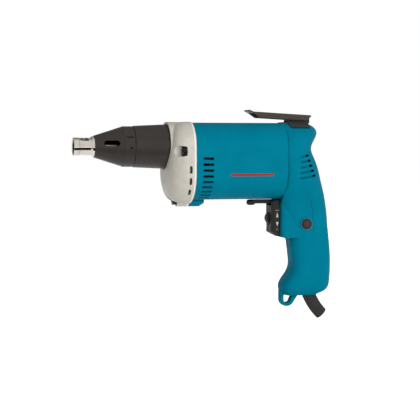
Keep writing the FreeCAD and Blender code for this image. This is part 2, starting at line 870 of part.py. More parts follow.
keep("detent_spring", formed("detent_spring_coil", spring(
    val("detent_coil_radius"), val("detent_wire_radius"), val(f"{BALL_HOLE_END} - {BALL_BACK}"),
    val("clutch_coil_turns"), (val(BALL_BACK), 0, val("ball_offset")), (1, 0, 0),
)))

# Cross-point bit, magnetic holder and magnet
BIT_NECK_X = "(bit_tip_from + bit_point_length)"
BIT_HEX_X = f"({BIT_NECK_X} + bit_neck_length)"
bit_nose = turned("bit_nose", (
    ("bit_tip_from", "0"),
    ("bit_tip_from", "bit_point_radius"),
    (BIT_NECK_X, "bit_neck_radius"),
    (BIT_HEX_X, "bit_neck_radius"),
    (BIT_HEX_X, "0"),
))
bit_bar = hexagon("bit_bar", "bit_hex", f"{BIT_END} - {BIT_HEX_X}", (BIT_HEX_X, "0", "0"))
flutes = []
for side in ("bit_flute_width / 2", "-bit_flute_width / 2 - bit_neck_radius"):
    for rise in ("bit_flute_width / 2", "-bit_flute_width / 2 - bit_neck_radius"):
        size = ("bit_point_length", "bit_neck_radius", "bit_neck_radius")
        flutes.append(block("bit_flute", size, ("bit_tip_from", side, rise)))
keep("screw_bit", less("screw_bit_cut", fused("bit_whole", [bit_nose, bit_bar]), flutes))
holder_tube = turned("holder_tube", (
    ("holder_from", "0"),
    ("holder_from", "holder_radius - holder_edge"),
    ("holder_from + holder_edge", "holder_radius"),
    (f"{HOLDER_END} - holder_edge", "holder_radius"),
    (HOLDER_END, "holder_radius - holder_edge"),
    (HOLDER_END, "0"),
))
holder_shank = hexagon("holder_shank", "bit_hex", "holder_shank_length", (HOLDER_END, "0", "0"))
holder_hole = hexagon(
    "holder_hole", "(bit_hex + 2 * hex_gap)", f"{BIT_END} + magnet_length - holder_from",
    ("holder_from", "0", "0"),
)
holder_whole = fused("holder_whole", [holder_tube, holder_shank])
keep("bit_holder", less("bit_holder_cut", holder_whole, [holder_hole]))
keep("bit_magnet", rod("bit_magnet_rod", "bit_hex / 2", "magnet_length", (BIT_END, "0", "0")))

# Spindle with clutch dogs, its bush, seal, washer and spring
drop = val(AXIS_DROP)
dog_step = 360 / val("dog_count")


def dogs(x_from, first_angle):
    """The clutch dogs on one face, spread round the spindle's line."""
    inner, outer, half = val("dog_inner_radius"), val("flange_radius"), val("dog_angle / 2")
    x_to = x_from + val("dog_height")
    angles = [first_angle + dog_step * n for n in range(int(val("dog_count")))]
    return [sector(inner, outer, angle, half, x_from, x_to, 0) for angle in angles]


spindle_bar = turned("spindle_bar", (
    ("spindle_front", "0"),
    ("spindle_front", "spindle_radius - holder_edge"),
    ("spindle_front + holder_edge", "spindle_radius"),
    (FLANGE_X, "spindle_radius"),
    (FLANGE_X, "flange_radius"),
    (FLANGE_END, "flange_radius"),
    (FLANGE_END, "tail_radius"),
    (f"{FLANGE_END} + tail_length", "tail_radius"),
    (f"{FLANGE_END} + tail_length", "0"),
))
spindle_dogs = [formed("spindle_dog", dog) for dog in dogs(val(FLANGE_END), 90)]
spindle_socket = hexagon(
    "spindle_socket", "(bit_hex + 2 * hex_gap)", "spindle_socket_depth", ("spindle_front", "0", "0"),
)
spindle_whole = fused("spindle_whole", [spindle_bar] + spindle_dogs)
keep("spindle", less("spindle_cut", spindle_whole, [spindle_socket]))


def ring(name, x_from, x_to, inner, outer, drop="0"):
    """A plain ring about a line along X."""
    outline = ((x_from, inner), (x_from, outer), (x_to, outer), (x_to, inner))
    return keep(name, turned(name + "_body", outline, drop))


ring("dust_seal", "neck_front", BUSH_X, "spindle_radius + slide_gap", "neck_bore_radius")
ring("spindle_bush", BUSH_X, BUSH_END, "spindle_radius + run_gap", "neck_bore_radius")
ring(
    "thrust_washer", WASHER_X, f"{WASHER_X} + washer_width",
    "spindle_radius + slide_gap", "neck_bore_radius - slide_gap",
)
keep("clutch_spring", formed("clutch_spring_coil", spring(
    val("clutch_coil_radius"), val("clutch_wire_radius"), val(f"{HUB_X} - {FLANGE_END} - 2 * slide_gap"),
    val("clutch_coil_turns"), (val(f"{FLANGE_END} + slide_gap"), 0, 0), (1, 0, 0),
)))

# Spindle gear with its own dogs, and its bush
gear_face = Part.Face(gear_wire(val("gear_teeth"), -math.pi / 2))
disc = gear_face.extrude(FreeCAD.Vector(val("gear_width"), 0, 0))
disc.translate(FreeCAD.Vector(val(GEAR_X), 0, 0))
gear_hub = bar(val(HUB_X), val(GEAR_X), val("flange_radius"))
gear_stub = bar(val(GEAR_END), val(STUB_END), val("gear_stub_radius"))
gear_dogs = dogs(val(f"{HUB_X} - dog_height"), 90 + dog_step / 2)
gear_solid = disc.fuse([gear_hub, gear_stub] + gear_dogs)
tail_room = val(f"{FLANGE_END} + tail_length + push_travel + slide_gap")
gear_solid = gear_solid.cut(bar(val(HUB_X), tail_room, val("tail_radius + run_gap")))
keep("spindle_gear", formed("spindle_gear_teeth", gear_solid.removeSplitter()))
ring("gear_bush", PLATE_X, PLATE_END, "gear_stub_radius + run_gap", "gear_bush_radius")


def house_wire(x, half_width, top, bottom, top_corner, low_corner):
    """The outline of the housing across the tool at x."""
    points = ((-half_width, bottom), (half_width, bottom), (half_width, top), (-half_width, top))
    return loop(points, (low_corner, low_corner, top_corner, top_corner), across(x))


def gear_house_wire(shares, inset):
    """One section of the gear housing, drawn in by inset."""
    along, wide, high, low = shares
    half_width = wide * val("gear_house_half_width")
    x = val("joint_x - gear_house_length") + along * val("gear_house_length")
    return house_wire(
        x, half_width - inset, high * val("gear_house_top") - inset, inset - low * val("gear_house_bottom"),
        GEAR_HOUSE_TOP_CORNER_SHARE * half_width - inset, GEAR_HOUSE_LOW_CORNER_SHARE * half_width - inset,
    )


def about_motor(shape, angle):
    """Turns a shape about the motor's line; a rising angle lowers what is at the near side."""
    shape.rotate(FreeCAD.Vector(0, 0, -drop), FreeCAD.Vector(1, 0, 0), angle)
    return shape


def both_sides(shapes):
    """The shapes at the near side and their mirror images at the far side."""
    return shapes + [s.mirror(FreeCAD.Vector(), FreeCAD.Vector(0, 1, 0)) for s in shapes]


def side_slots(x_from, length, tall, first_angle, pitch, count, near, far):
    """Slots through the near wall, spread about the motor's line from the first angle downwards."""
    half = tall / 2
    corner = min(half, length / 2)
    points = (
        (x_from, -drop - half), (x_from + length, -drop - half),
        (x_from + length, half - drop), (x_from, half - drop),
    )
    face = Part.Face(loop(points, [corner] * 4, upright(-far)))
    blank = face.extrude(FreeCAD.Vector(0, far - near, 0))
    return both_sides([about_motor(blank.copy(), first_angle + pitch * n) for n in range(int(count))])


# Gear housing: lofted shell, collar, neck, chambers, screw seats and exhaust slots
joint = val("joint_x")
house_front = val("joint_x - gear_house_length")
far_reach = val("gear_house_half_width + gear_house_wall")
house = Part.makeLoft([gear_house_wire(row, 0) for row in GEAR_HOUSE_SHARES], True, False)
collar_x = val(COLLAR_X)
low_screw_z = -val("low_screw_drop")
side_screw_z = -val("side_screw_drop")
house = house.fuse([
    bar(collar_x, collar_x + val("collar_length"), val("collar_radius")),
    bar(joint - val("low_boss_length"), joint, val("low_boss_radius"), 0, low_screw_z),
])
pocket_end = val(POCKET_END)
house = house.cut(bar(house_front - far_reach, pocket_end, val("sleeve_rear_radius + collar_gap")))
neck = bar(val("neck_front"), pocket_end, val("neck_radius")).cut(
    bar(val(RING_X), val(RING_END), val("neck_radius")).cut(
        bar(val(RING_X), val(RING_END), val("neck_radius - ring_seat_depth"))
    )
)
house = house.fuse(neck)
seat_x = val("joint_x - house_screw_seat")
seats = [seat_x, seat_x, val("joint_x - low_screw_seat")]
screw_spots = [(val("side_screw_y"), side_screw_z), (-val("side_screw_y"), side_screw_z), (0, low_screw_z)]
recess_radii = [val("side_recess_radius")] * 2 + [val("low_recess_radius")]
plate_recess = Part.Face(gear_house_wire(GEAR_HOUSE_SHARES[-1], val("gear_house_wall")))
cuts = [
    bar(val("neck_front"), val(CHAMBER_X), val("neck_bore_radius")),
    bar(val(CHAMBER_X), joint, val("gear_chamber_radius")),
    bar(val(CHAMBER_X), joint, val("pinion_chamber_radius"), 0, -drop),
    plate_recess.extrude(FreeCAD.Vector(-val("plate_recess_length"), 0, 0)),
    bar(pocket_end, val(BALL_HOLE_END), val("ball_radius + run_gap"), 0, val("ball_offset")),
]
for (y, z), radius, seat in zip(screw_spots, recess_radii, seats):
    cuts.append(bar(house_front - far_reach, seat, radius, y, z))
    cuts.append(bar(seat, joint, val("house_screw_radius + run_gap"), y, z))
cuts += side_slots(
    joint - val("gear_vent_from"), val("gear_vent_width"), val("gear_vent_length"),
    val("gear_vent_first_angle"), val("gear_vent_pitch_angle"), val("gear_vent_count"),
    val("gear_vent_inner"), far_reach,
)
keep("gear_housing", formed("gear_housing_casting", house.cut(cuts)))

# Plate between the gears and the motor, and the screws that hold the housings together
plate = Part.Face(gear_house_wire(GEAR_HOUSE_SHARES[-1], val("gear_house_wall + slide_gap")))
plate = plate.extrude(FreeCAD.Vector(val("plate_length"), 0, 0))
plate.translate(FreeCAD.Vector(val(PLATE_X) - joint, 0, 0))
plate_end = val(PLATE_END)
bearing_end = val(BEARING_END)
plate = plate.fuse(bar(plate_end, bearing_end, val("plate_boss_radius"), 0, -drop))
plate = plate.cut([
    bar(val(PLATE_X), plate_end, val("gear_bush_radius")),
    bar(val(PLATE_X), plate_end, val("plate_hole_radius"), 0, -drop),
    bar(plate_end, bearing_end, val("bearing_radius"), 0, -drop),
])
plate = plate.cut([
    bar(val(PLATE_X), plate_end, radius, y, z) for (y, z), radius in zip(screw_spots, recess_radii)
])
keep("bearing_plate", formed("bearing_plate_form", plate))
house_screws = []
HOUSE_SCREW_SPOTS = (
    ("side_screw_y", "-side_screw_drop", "house_screw_seat"),
    ("-side_screw_y", "-side_screw_drop", "house_screw_seat"),
    ("0", "-low_screw_drop", "low_screw_seat"),
)
for y, z, depth in HOUSE_SCREW_SPOTS:
    seat = (f"joint_x - {depth}", y, z)
    head_at = (f"joint_x - {depth} - house_screw_head_length", y, z)
    head = rod("house_screw_head", "house_screw_head_radius", "house_screw_head_length", head_at)
    shank = rod("house_screw_shank", "house_screw_radius", "house_screw_length", seat)
    socket = hexagon("house_screw_socket", "screw_socket", "screw_socket_depth", head_at)
    house_screws.append(less("house_screw", fused("house_screw_whole", [head, shank]), [socket]))
keep("gear_housing_screws", grouped("gear_housing_screws_set", house_screws))


def body_prism(x_from, x_to, inset):
    """The motor housing's form between two places along the tool, drawn in by inset."""
    wire = house_wire(
        x_from, val("body_half_width") - inset, val("body_top") - inset, inset - val("body_bottom"),
        val("top_corner") - inset, val("low_corner") - inset,
    )
    return Part.Face(wire).extrude(FreeCAD.Vector(x_to - x_from, 0, 0))


def box(low, high):
    """A box between two corner points."""
    size = [b - a for a, b in zip(low, high)]
    return Part.makeBox(*size, FreeCAD.Vector(*low))


# Motor housing: shell, screw bosses, exhaust slots, rear bulkhead and field bosses;
# the side bosses keep within its outline and the low one stands out below it
seam = val("seam_x")
wall = val("wall")
body_width = val("body_half_width")
outline = body_prism(joint, seam, 0)
shell = outline.cut(body_prism(joint, seam, wall))
boss_end = joint + val("boss_length")
taper_end = boss_end + val("boss_taper_length")
boss_radii = [val("side_boss_radius")] * 2 + [val("low_boss_radius")]
for (y, z), radius in zip(screw_spots, boss_radii):
    start = FreeCAD.Vector(boss_end, y, z)
    taper = Part.makeCone(
        radius, val("boss_taper_radius"), val("boss_taper_length"), start, FreeCAD.Vector(1, 0, 0),
    )
    boss = bar(joint, boss_end, radius, y, z).fuse(taper)
    shell = shell.fuse(boss.common(outline) if y else boss)
core_end = val(CORE_END)
field_tail = val("field_screw_tail")
for side in (1, -1):
    y = side * val("field_screw_y")
    rib_radius = val("field_boss_radius")
    low_y, high_y = sorted((y, side * (body_width - wall / 2)))
    rib_low = (core_end, low_y, -drop - rib_radius / 2)
    rib_high = (core_end + field_tail, high_y, rib_radius / 2 - drop)
    shell = shell.fuse([bar(core_end, core_end + field_tail, rib_radius, y, -drop), box(rib_low, rib_high)])
bulkhead = body_prism(seam - val("bulkhead_length"), seam, wall / 2)
window_half = val("bulkhead_window_width / 2")
window_tall = val("bulkhead_window_height / 2")
for side in (1, -1):
    y = side * val("bulkhead_window_y")
    for z in (-drop - window_tall, window_tall - drop):
        low = (seam - val("bulkhead_length"), y - window_half, z - window_tall / 2)
        bulkhead = bulkhead.cut(box(low, (seam, y + window_half, z + window_tall / 2)))
tail_x = val(TAIL_BEARING_X)
tail_end = tail_x + val("bearing_width")
tail_boss = bar(tail_x, seam, val("tail_boss_radius"), 0, -drop)
shell = shell.fuse([bulkhead, tail_boss])
body_cuts = [
    bar(tail_x, tail_end, val("tail_sleeve_radius"), 0, -drop),
    bar(tail_end, seam, val("shaft_radius + slide_gap"), 0, -drop),
]
screw_end = seat_x + val("house_screw_length")
for y, z in screw_spots:
    body_cuts.append(bar(joint, screw_end, val("house_screw_radius + run_gap"), y, z))
for side in (1, -1):
    y = side * val("field_screw_y")
    body_cuts.append(bar(core_end, core_end + field_tail, val("field_screw_radius + run_gap"), y, -drop))
body_cuts += side_slots(
    joint + val("vent_from"), val("vent_length"), val("vent_width"), -val("vent_first_angle"),
    val("vent_pitch_angle"), val("vent_count"), val("fan_radius"), far_reach,
)
keep("motor_housing", formed("motor_housing_moulding", shell.cut(body_cuts)))

# Armature: shaft with pinion, core, windings, commutator and fan
shaft = bar(val(GEAR_END), plate_end, val("shaft_nose_radius"), 0, -drop).fuse([
    bar(plate_end, tail_x, val("shaft_radius"), 0, -drop),
    bar(tail_x, tail_end, val("shaft_tail_radius"), 0, -drop),
])
pinion_first = math.pi / 2 + math.pi / val("pinion_teeth")
pinion_face = Part.Face(gear_wire(val("pinion_teeth"), pinion_first))
pinion = pinion_face.extrude(FreeCAD.Vector(val("gear_width"), 0, 0))
pinion.translate(FreeCAD.Vector(val(GEAR_X), 0, -drop))
keep("armature_shaft", formed("armature_shaft_turning", shaft.fuse(pinion)))
keep("armature_core", slotted(
    "armature_core_body",
    (
        ("core_from", "shaft_radius"), ("core_from", "armature_radius"),
        (CORE_END, "armature_radius"), (CORE_END, "shaft_radius"),
    ),
    AXIS_DROP, "armature_slot_width", "armature_slot_bottom", "(armature_radius + wall)",
    "armature_slot_count", f"{CORE_END} + wall",
))
winding_ends = []
WINDING_FACES = (
    ("core_from", "(core_from - winding_length)"),
    (CORE_END, f"({CORE_END} + winding_length)"),
)
for face, far_face in WINDING_FACES:
    winding_ends.append(turned("winding_end", (
        (face, "winding_bore_radius"), (face, "winding_radius"),
        (far_face, "winding_end_radius"), (far_face, "winding_bore_radius"),
    ), AXIS_DROP))
keep("armature_windings", grouped("armature_windings_set", winding_ends))
RISER_END = "(commutator_from + riser_length)"
keep("commutator", slotted(
    "commutator_body",
    (
        ("commutator_from", "shaft_radius"), ("commutator_from", "riser_radius"),
        (RISER_END, "riser_radius"), (RISER_END, "commutator_radius"),
        (COMMUTATOR_END, "commutator_radius"), (COMMUTATOR_END, "shaft_radius"),
    ),
    AXIS_DROP, "commutator_slot_width", "commutator_slot_bottom", "(riser_radius + wall)",
    "commutator_bars", f"{COMMUTATOR_END} + wall",
))
DISC_X = f"({FAN_END} - fan_disc_length)"
fan_wheel = turned("fan_wheel", (
    ("fan_from", "shaft_radius"), ("fan_from", "fan_hub_radius"), (DISC_X, "fan_hub_radius"),
    (DISC_X, "fan_radius"), (FAN_END, "fan_radius"), (FAN_END, "shaft_radius"),
), AXIS_DROP)
blade_low = (val("fan_from"), -val("fan_blade_width / 2"), val("fan_blade_inner_radius") - drop)
blade_high = (val(DISC_X), val("fan_blade_width / 2"), val("fan_radius") - drop)
blades = []
for n in range(int(val("fan_blade_count"))):
    blade = about_motor(box(blade_low, blade_high), 360 * n / val("fan_blade_count"))
    blades.append(formed("fan_blade", blade))
keep("cooling_fan", fused("cooling_fan_whole", [fan_wheel] + blades))

# Bearings, fan baffle and field
ring("front_bearing", PLATE_END, BEARING_END, "shaft_radius + run_gap", "bearing_radius", AXIS_DROP)
TAIL_BEARING_END = f"({TAIL_BEARING_X} + bearing_width)"
ring(
    "rear_bearing", TAIL_BEARING_X, TAIL_BEARING_END,
    "shaft_tail_radius + run_gap", "tail_bearing_radius", AXIS_DROP,
)
ring(
    "rear_bearing_sleeve", TAIL_BEARING_X, TAIL_BEARING_END,
    "tail_bearing_radius", "tail_sleeve_radius", AXIS_DROP,
)
BAFFLE_X = f"({FAN_END} + baffle_gap)"
BAFFLE_END = f"({BAFFLE_X} + baffle_length)"
ring("fan_baffle", BAFFLE_X, BAFFLE_END, "baffle_hole_radius", "baffle_radius", AXIS_DROP)
core_from = val("core_from")
field = bar(core_from, core_end, val("field_radius"), 0, -drop).cut(
    bar(core_from, core_end, val("field_ring_inner"), 0, -drop)
)
POLE_ANGLES = (90, 270)
for angle in POLE_ANGLES:
    field = field.fuse(sector(
        val("field_bore_radius"), val("(field_ring_inner + field_radius) / 2"),
        angle, val("pole_half_angle"), core_from, core_end, drop,
    ))
for side in (1, -1):
    y = side * val("field_screw_y")
    field = field.cut(bar(core_from, core_end, val("field_screw_radius + run_gap"), y, -drop))
keep("field_core", formed("field_core_stack", field.removeSplitter()))
coils = []
for angle in POLE_ANGLES:
    end = val("coil_end_length")
    inner, outer, gap = val("coil_inner_radius"), val("coil_outer_radius"), val("coil_gap")
    saddle = sector(inner, outer, angle, val("coil_half_angle"), core_from - end, core_end + end, drop)
    middle = sector(
        inner - end, outer + end, angle, val("coil_hole_half_angle"), core_from - gap, core_end + gap, drop,
    )
    coils.append(formed("field_coil", saddle.cut(middle)))
keep("field_coils", grouped("field_coils_set", coils))
field_screws = []
for y in ("field_screw_y", "-field_screw_y"):
    head_at = ("core_from - field_screw_head_length", y, f"-{AXIS_DROP}")
    head = rod("field_screw_head", "field_screw_head_radius", "field_screw_head_length", head_at)
    shank = rod(
        "field_screw_shank", "field_screw_radius", "core_length + field_screw_tail",
        ("core_from", y, f"-{AXIS_DROP}"),
    )
    field_screws.append(fused("field_screw", [head, shank]))
keep("field_screws", grouped("field_screws_set", field_screws))

# Brush gear at both sides of the commutator
holders = []
brushes = []
brush_springs = []
HOLDER_HALF = "(brush_width / 2 + brush_gap + holder_wall)"
HOLDER_RISE = "(brush_height / 2 + brush_gap + holder_wall)"
HOLDER_FLOOR = "(holder_end - holder_wall)"
BRUSH_END = "(brush_start + brush_length)"
for side in (1, -1):
    holder_y, inside_y, brush_y = (
        start if side > 0 else f"-{end}"
        for start, end in (
            ("holder_start", "holder_end"), ("holder_start", HOLDER_FLOOR), ("brush_start", BRUSH_END),
        )
    )
    outside = block(
        "holder_outside", (f"2 * {HOLDER_HALF}", "holder_end - holder_start", f"2 * {HOLDER_RISE}"),
        (f"brush_x - {HOLDER_HALF}", holder_y, f"-{AXIS_DROP} - {HOLDER_RISE}"),
    )
    inside = block(
        "holder_inside",
        ("brush_width + 2 * brush_gap", f"{HOLDER_FLOOR} - holder_start", "brush_height + 2 * brush_gap"),
        ("brush_x - brush_width / 2 - brush_gap", inside_y, f"-{AXIS_DROP} - brush_height / 2 - brush_gap"),
    )
    holders.append(less("brush_holder", outside, [inside]))
    brushes.append(block(
        "carbon_brush", ("brush_width", "brush_length", "brush_height"),
        ("brush_x - brush_width / 2", brush_y, f"-{AXIS_DROP} - brush_height / 2"),
    ))
    brush_springs.append(formed("brush_spring", spring(
        val("brush_coil_radius"), val("brush_wire_radius"), val(f"{HOLDER_FLOOR} - {BRUSH_END}"),
        val("brush_coil_turns"), (val("brush_x"), side * val(BRUSH_END), -drop), (0, side, 0),
    )))
keep("brush_holders", grouped("brush_holders_set", holders))
keep("carbon_brushes", grouped("carbon_brushes_set", brushes))
keep("brush_springs", grouped("brush_springs_set", brush_springs))


def shell_loft(inset, end_inset):
    """The handle's form, drawn in by inset all round and by end_inset at its top and bottom."""
    wires = []
    last = math.inf
    for depth, front, rear, wide, corner in SHELL_SHARES:
        half_width = wide * body_width
        z = val("body_top") - depth * val("shell_height")
        z = min(max(z, val("body_top - shell_height") + end_inset), val("body_top") - end_inset)
        x_front = seam + front * val("shell_depth") + inset
        x_rear = seam + rear * val("shell_depth") - inset
        points = (
            (x_front, inset - half_width), (x_rear, inset - half_width),
            (x_rear, half_width - inset), (x_front, half_width - inset),
        )
        rear_corner = corner * half_width
        room = (rear - front - SIDE_FLAT_SHARE) * val("shell_depth") - rear_corner
        front_corner = min(FRONT_CORNER_SHARE * half_width, room)
        radii = (front_corner - inset, rear_corner - inset, rear_corner - inset, front_corner - inset)
        if z < last:
            wires.append(loop(points, radii, level(z)))
            last = z
    return Part.makeLoft(wires, True, False)


# Handle shells: lofted form, trigger surround and cord eye, hollowed, then split along the middle
body_top = val("body_top")


def down(alias):
    """The height of a place given as a depth below the top of the handle."""
    return body_top - val(alias)


handle_form = shell_loft(0, 0)
surround_points = (
    (seam, -val("surround_half_width")), (seam + val("surround_depth"), -val("surround_half_width")),
    (seam + val("surround_depth"), val("surround_half_width")), (seam, val("surround_half_width")),
)
corner = val("surround_corner")
surround = Part.Face(loop(surround_points, (corner, 0, 0, corner), level(down("surround_bottom"))))
surround = surround.extrude(FreeCAD.Vector(0, 0, val("surround_bottom - surround_top")))
lip_low = down("surround_bottom")
lip_points = ((seam, lip_low), (seam + val("surround_lip_slope"), lip_low), (seam, lip_low + val("surround_lip_rise")))
lip_slope = Part.Face(loop(lip_points, [0] * 3, upright(-far_reach)))
surround = surround.cut(lip_slope.extrude(FreeCAD.Vector(0, 2 * far_reach, 0)))
eye_x = seam + val("eye_front")
eye_rear = eye_x + val("eye_depth")
eye_points = (
    (eye_x + val("eye_lead"), down("eye_top")), (eye_x, down("eye_top") - val("eye_lead_height")),
    (eye_x, down("eye_bottom")), (eye_x + val("eye_depth") * EYE_FLAT_SHARE, down("eye_bottom")),
    (eye_rear, down("eye_hole_top")), (eye_x + val("eye_depth") * EYE_FLAT_SHARE, down("eye_top")),
)
eye_corner = val("eye_corner")
eye_radii = (0, eye_corner, eye_corner, eye_corner, eye_corner, 0)
eye = Part.Face(loop(eye_points, eye_radii, upright(-val("eye_half_width"))))
eye = eye.extrude(FreeCAD.Vector(0, 2 * val("eye_half_width"), 0))
hole_x = seam + val("eye_hole_front")
hole_points = (
    (hole_x, down("eye_hole_top")), (hole_x, down("eye_hole_top") - val("eye_hole_height")),
    (hole_x + val("eye_hole_depth") * EYE_FLAT_SHARE, down("eye_hole_top") - val("eye_hole_height")),
    (hole_x + val("eye_hole_depth"), down("eye_hole_top")),
)
hole_corner = val("eye_hole_corner")
eye_hole = Part.Face(loop(hole_points, [hole_corner] * 4, upright(-far_reach)))
eye_hole = eye_hole.extrude(FreeCAD.Vector(0, 2 * far_reach, 0))
eye = eye.cut(eye_hole)
rims = [e for e in eye.Edges if e.BoundBox.YLength < SAME_POINT]
eye = eye.makeFillet(val("eye_edge"), rims)
solid_form = handle_form.fuse([surround, eye]).cut(box(
    (seam - val("shell_depth"), -far_reach, down("shell_height") - far_reach),
    (seam, far_reach, body_top + far_reach),
))
hollow = shell_loft(wall, wall)
hollow = hollow.cut(box(
    (seam - val("shell_depth"), -far_reach, down("shell_height")),
    (seam + wall, far_reach, wall - val("body_bottom")),
))
hollow = hollow.cut(eye)
screw_places = []
for along, depth, out in HANDLE_SCREW_SHARES:
    screw_places.append((
        seam + along * val("shell_depth"), body_top - depth * val("shell_height"), out * body_width,
    ))


def pin(x, z, y_from, y_to, radius):
    """A round bar across the tool."""
    return Part.makeCylinder(radius, y_to - y_from, FreeCAD.Vector(x, y_from, z), FreeCAD.Vector(0, 1, 0))


bosses = [pin(x, z, -far_reach, far_reach, val("boss_radius")) for x, z, out in screw_places]
hollow = hollow.cut(bosses)
shells = solid_form.cut(hollow)

# Openings in the shells: trigger, lever, lock button, switch, cord guard, clip screws and air grooves
margin = val("trigger_window_margin")
window_end = seam + val("surround_depth") + wall
switch_room = box(
    (val("switch_from"), -val("switch_half_width"), -val("switch_top + switch_height")),
    (val("switch_from + switch_length"), val("switch_half_width"), -val("switch_top")),
)
openings = [
    box(
        (seam - wall, -val("trigger_window_half_width"), -val("trigger_bottom") - margin),
        (window_end, val("trigger_window_half_width"), margin - val("lever_top")),
    ),
    pin(val("button_x"), -val("button_drop"), -far_reach, 0, val("button_radius + slide_gap")),
    switch_room,
]
groove_floor = shell_loft(val("groove_depth"), val("groove_depth"))
for n in range(int(val("groove_count"))):
    z = -val("groove_drop") - n * val("groove_pitch")
    length = val("groove_length") + n * val("groove_step")
    half = val("groove_width / 2")
    x = seam + val("groove_from")
    points = ((x, z - half), (x + length, z - half), (x + length, z + half), (x, z + half))
    groove = Part.Face(loop(points, [half] * 4, upright(-far_reach)))
    groove = groove.extrude(FreeCAD.Vector(0, far_reach, 0))
    hole_low = (x + length - val("groove_hole_length"), -far_reach, z - half)
    hole = box(hole_low, (x + length, 0, z + half))
    for tool in (groove, hole):
        tool.rotate(FreeCAD.Vector(x, 0, z), FreeCAD.Vector(0, 1, 0), -val("groove_tilt"))
    openings += both_sides([groove.cut(groove_floor), hole])


# Cord guard: a bent taper with a bore and an inner flange
def guard_loft(radius, end_radius):
    """The guard's round form along its bend."""
    tilt = math.radians(val("guard_tilt"))
    bend = math.radians(val("guard_bend"))
    curve = val("guard_length") / bend
    wires = []
    for share in GUARD_SHARES:
        lean = tilt + bend * share
        centre = FreeCAD.Vector(
            val("guard_x") + curve * (math.cos(tilt) - math.cos(lean)), 0,
            -val("guard_top") - curve * (math.sin(lean) - math.sin(tilt)),
        )
        heading = FreeCAD.Vector(math.sin(lean), 0, -math.cos(lean))
        wires.append(Part.Wire(Part.makeCircle(radius + (end_radius - radius) * share, centre, heading)))
    return Part.makeLoft(wires, True, False)


GUARD_SHARES = (0, 0.25, 0.5, 0.75, 1)
guard_start = FreeCAD.Vector(val("guard_x"), 0, -val("guard_top"))
lean = math.radians(val("guard_tilt"))
guard_heading = FreeCAD.Vector(math.sin(lean), 0, -math.cos(lean))
guard_outside = guard_loft(val("guard_radius"), val("guard_end_radius"))
guard_flange = Part.makeCylinder(
    val("guard_flange_radius"), val("guard_flange_height"), guard_start, guard_heading,
)
guard_bore = guard_loft(val("guard_bore_radius"), val("guard_bore_radius"))
keep("cord_guard", formed("cord_guard_moulding", guard_outside.fuse(guard_flange).cut(guard_bore)))
gap = val("run_gap")
openings.append(guard_loft(val("guard_radius") + gap, val("guard_end_radius") + gap))

# Power cord, cut off at the end of its guard and held inside the handle by the clamp
cord_line = Part.BSplineCurve()
cord_line.interpolate(
    [
        guard_start,
        FreeCAD.Vector(val("cord_inner_x"), 0, -val("clamp_top + clamp_height / 2")),
        FreeCAD.Vector(val("cord_inner_x"), 0, -val("cord_inner_top")),
    ],
    InitialTangent=guard_heading * -1, FinalTangent=FreeCAD.Vector(0, 0, 1),
)
cord_ring = Part.Wire(Part.makeCircle(val("cord_radius"), guard_start, guard_heading))
cord_inside = Part.Wire(cord_line.toShape()).makePipeShell([cord_ring], True, False)
cord_outside = guard_loft(val("cord_radius"), val("cord_radius"))
keep("power_cord", formed("power_cord_run", cord_outside.fuse(cord_inside)))

# Clamp posts in the far shell, and the two shells themselves
post_xs = [val("clamp_from + clamp_post_inset"), val("clamp_from + clamp_length - clamp_post_inset")]
post_z = -val("clamp_top + clamp_height / 2")
clamp_y = -val("clamp_from_middle")
posts = [pin(x, post_z, clamp_y, far_reach, val("clamp_post_radius")) for x in post_xs]
rim = pin(
    val("button_x"), -val("button_drop"), -val("button_rim_face"),
    -val("button_rim_face") + wall, val("button_rim_radius"),
)
near_half = box((0, -far_reach, -val("shell_height") * 2), (seam * 2, 0, val("shell_height")))
far_half = box((0, 0, -val("shell_height") * 2), (seam * 2, far_reach, val("shell_height")))
for x, z, out in screw_places:
    shank_end = out - val("handle_screw_length") - gap
    openings.append(pin(x, z, shank_end, out, val("handle_screw_radius") + gap))
    openings.append(pin(x, z, out, far_reach, val("handle_screw_pocket_radius")))
clip_screw_x = val("base_from + base_length / 2")
for y in (val("clip_screw_y"), -val("clip_screw_y")):
    openings.append(Part.makeCylinder(
        val("clip_screw_radius") + gap, wall, FreeCAD.Vector(clip_screw_x, y, body_top - wall),
    ))
dish = Part.makeSphere(val("dish_radius"), FreeCAD.Vector(
    val("button_x - dish_shift"), -val("button_rim_face + dish_radius - dish_depth"), -val("button_drop"),
))
shells = shells.cut(dish).fuse(rim).cut(openings)
far_posts = [post.common(solid_form) for post in posts]
post_holes = [
    pin(x, post_z, clamp_y, clamp_y + val("clamp_screw_length"), val("clamp_screw_radius") + gap)
    for x in post_xs
]
keep("handle_left", formed("handle_left_moulding", shells.common(near_half)))
far_shell = shells.common(far_half).fuse(far_posts).cut(post_holes)
keep("handle_right", formed("handle_right_moulding", far_shell))
handle_screws = []
for along, depth, out in HANDLE_SCREW_SHARES:
    x, y = f"seam_x + {along} * shell_depth", f"{out} * body_half_width"
    z = f"body_top - {depth} * shell_height"
    head_at = (x, y, z)
    head = rod("handle_screw_head", "handle_screw_head_radius", "handle_screw_head_length", head_at, ALONG_Y)
    end = (x, f"{y} - handle_screw_length", z)
    shank = rod("handle_screw_shank", "handle_screw_radius", "handle_screw_length", end, ALONG_Y)
    handle_screws.append(fused("handle_screw", [head, shank]))
keep("handle_screws", grouped("handle_screws_set", handle_screws))

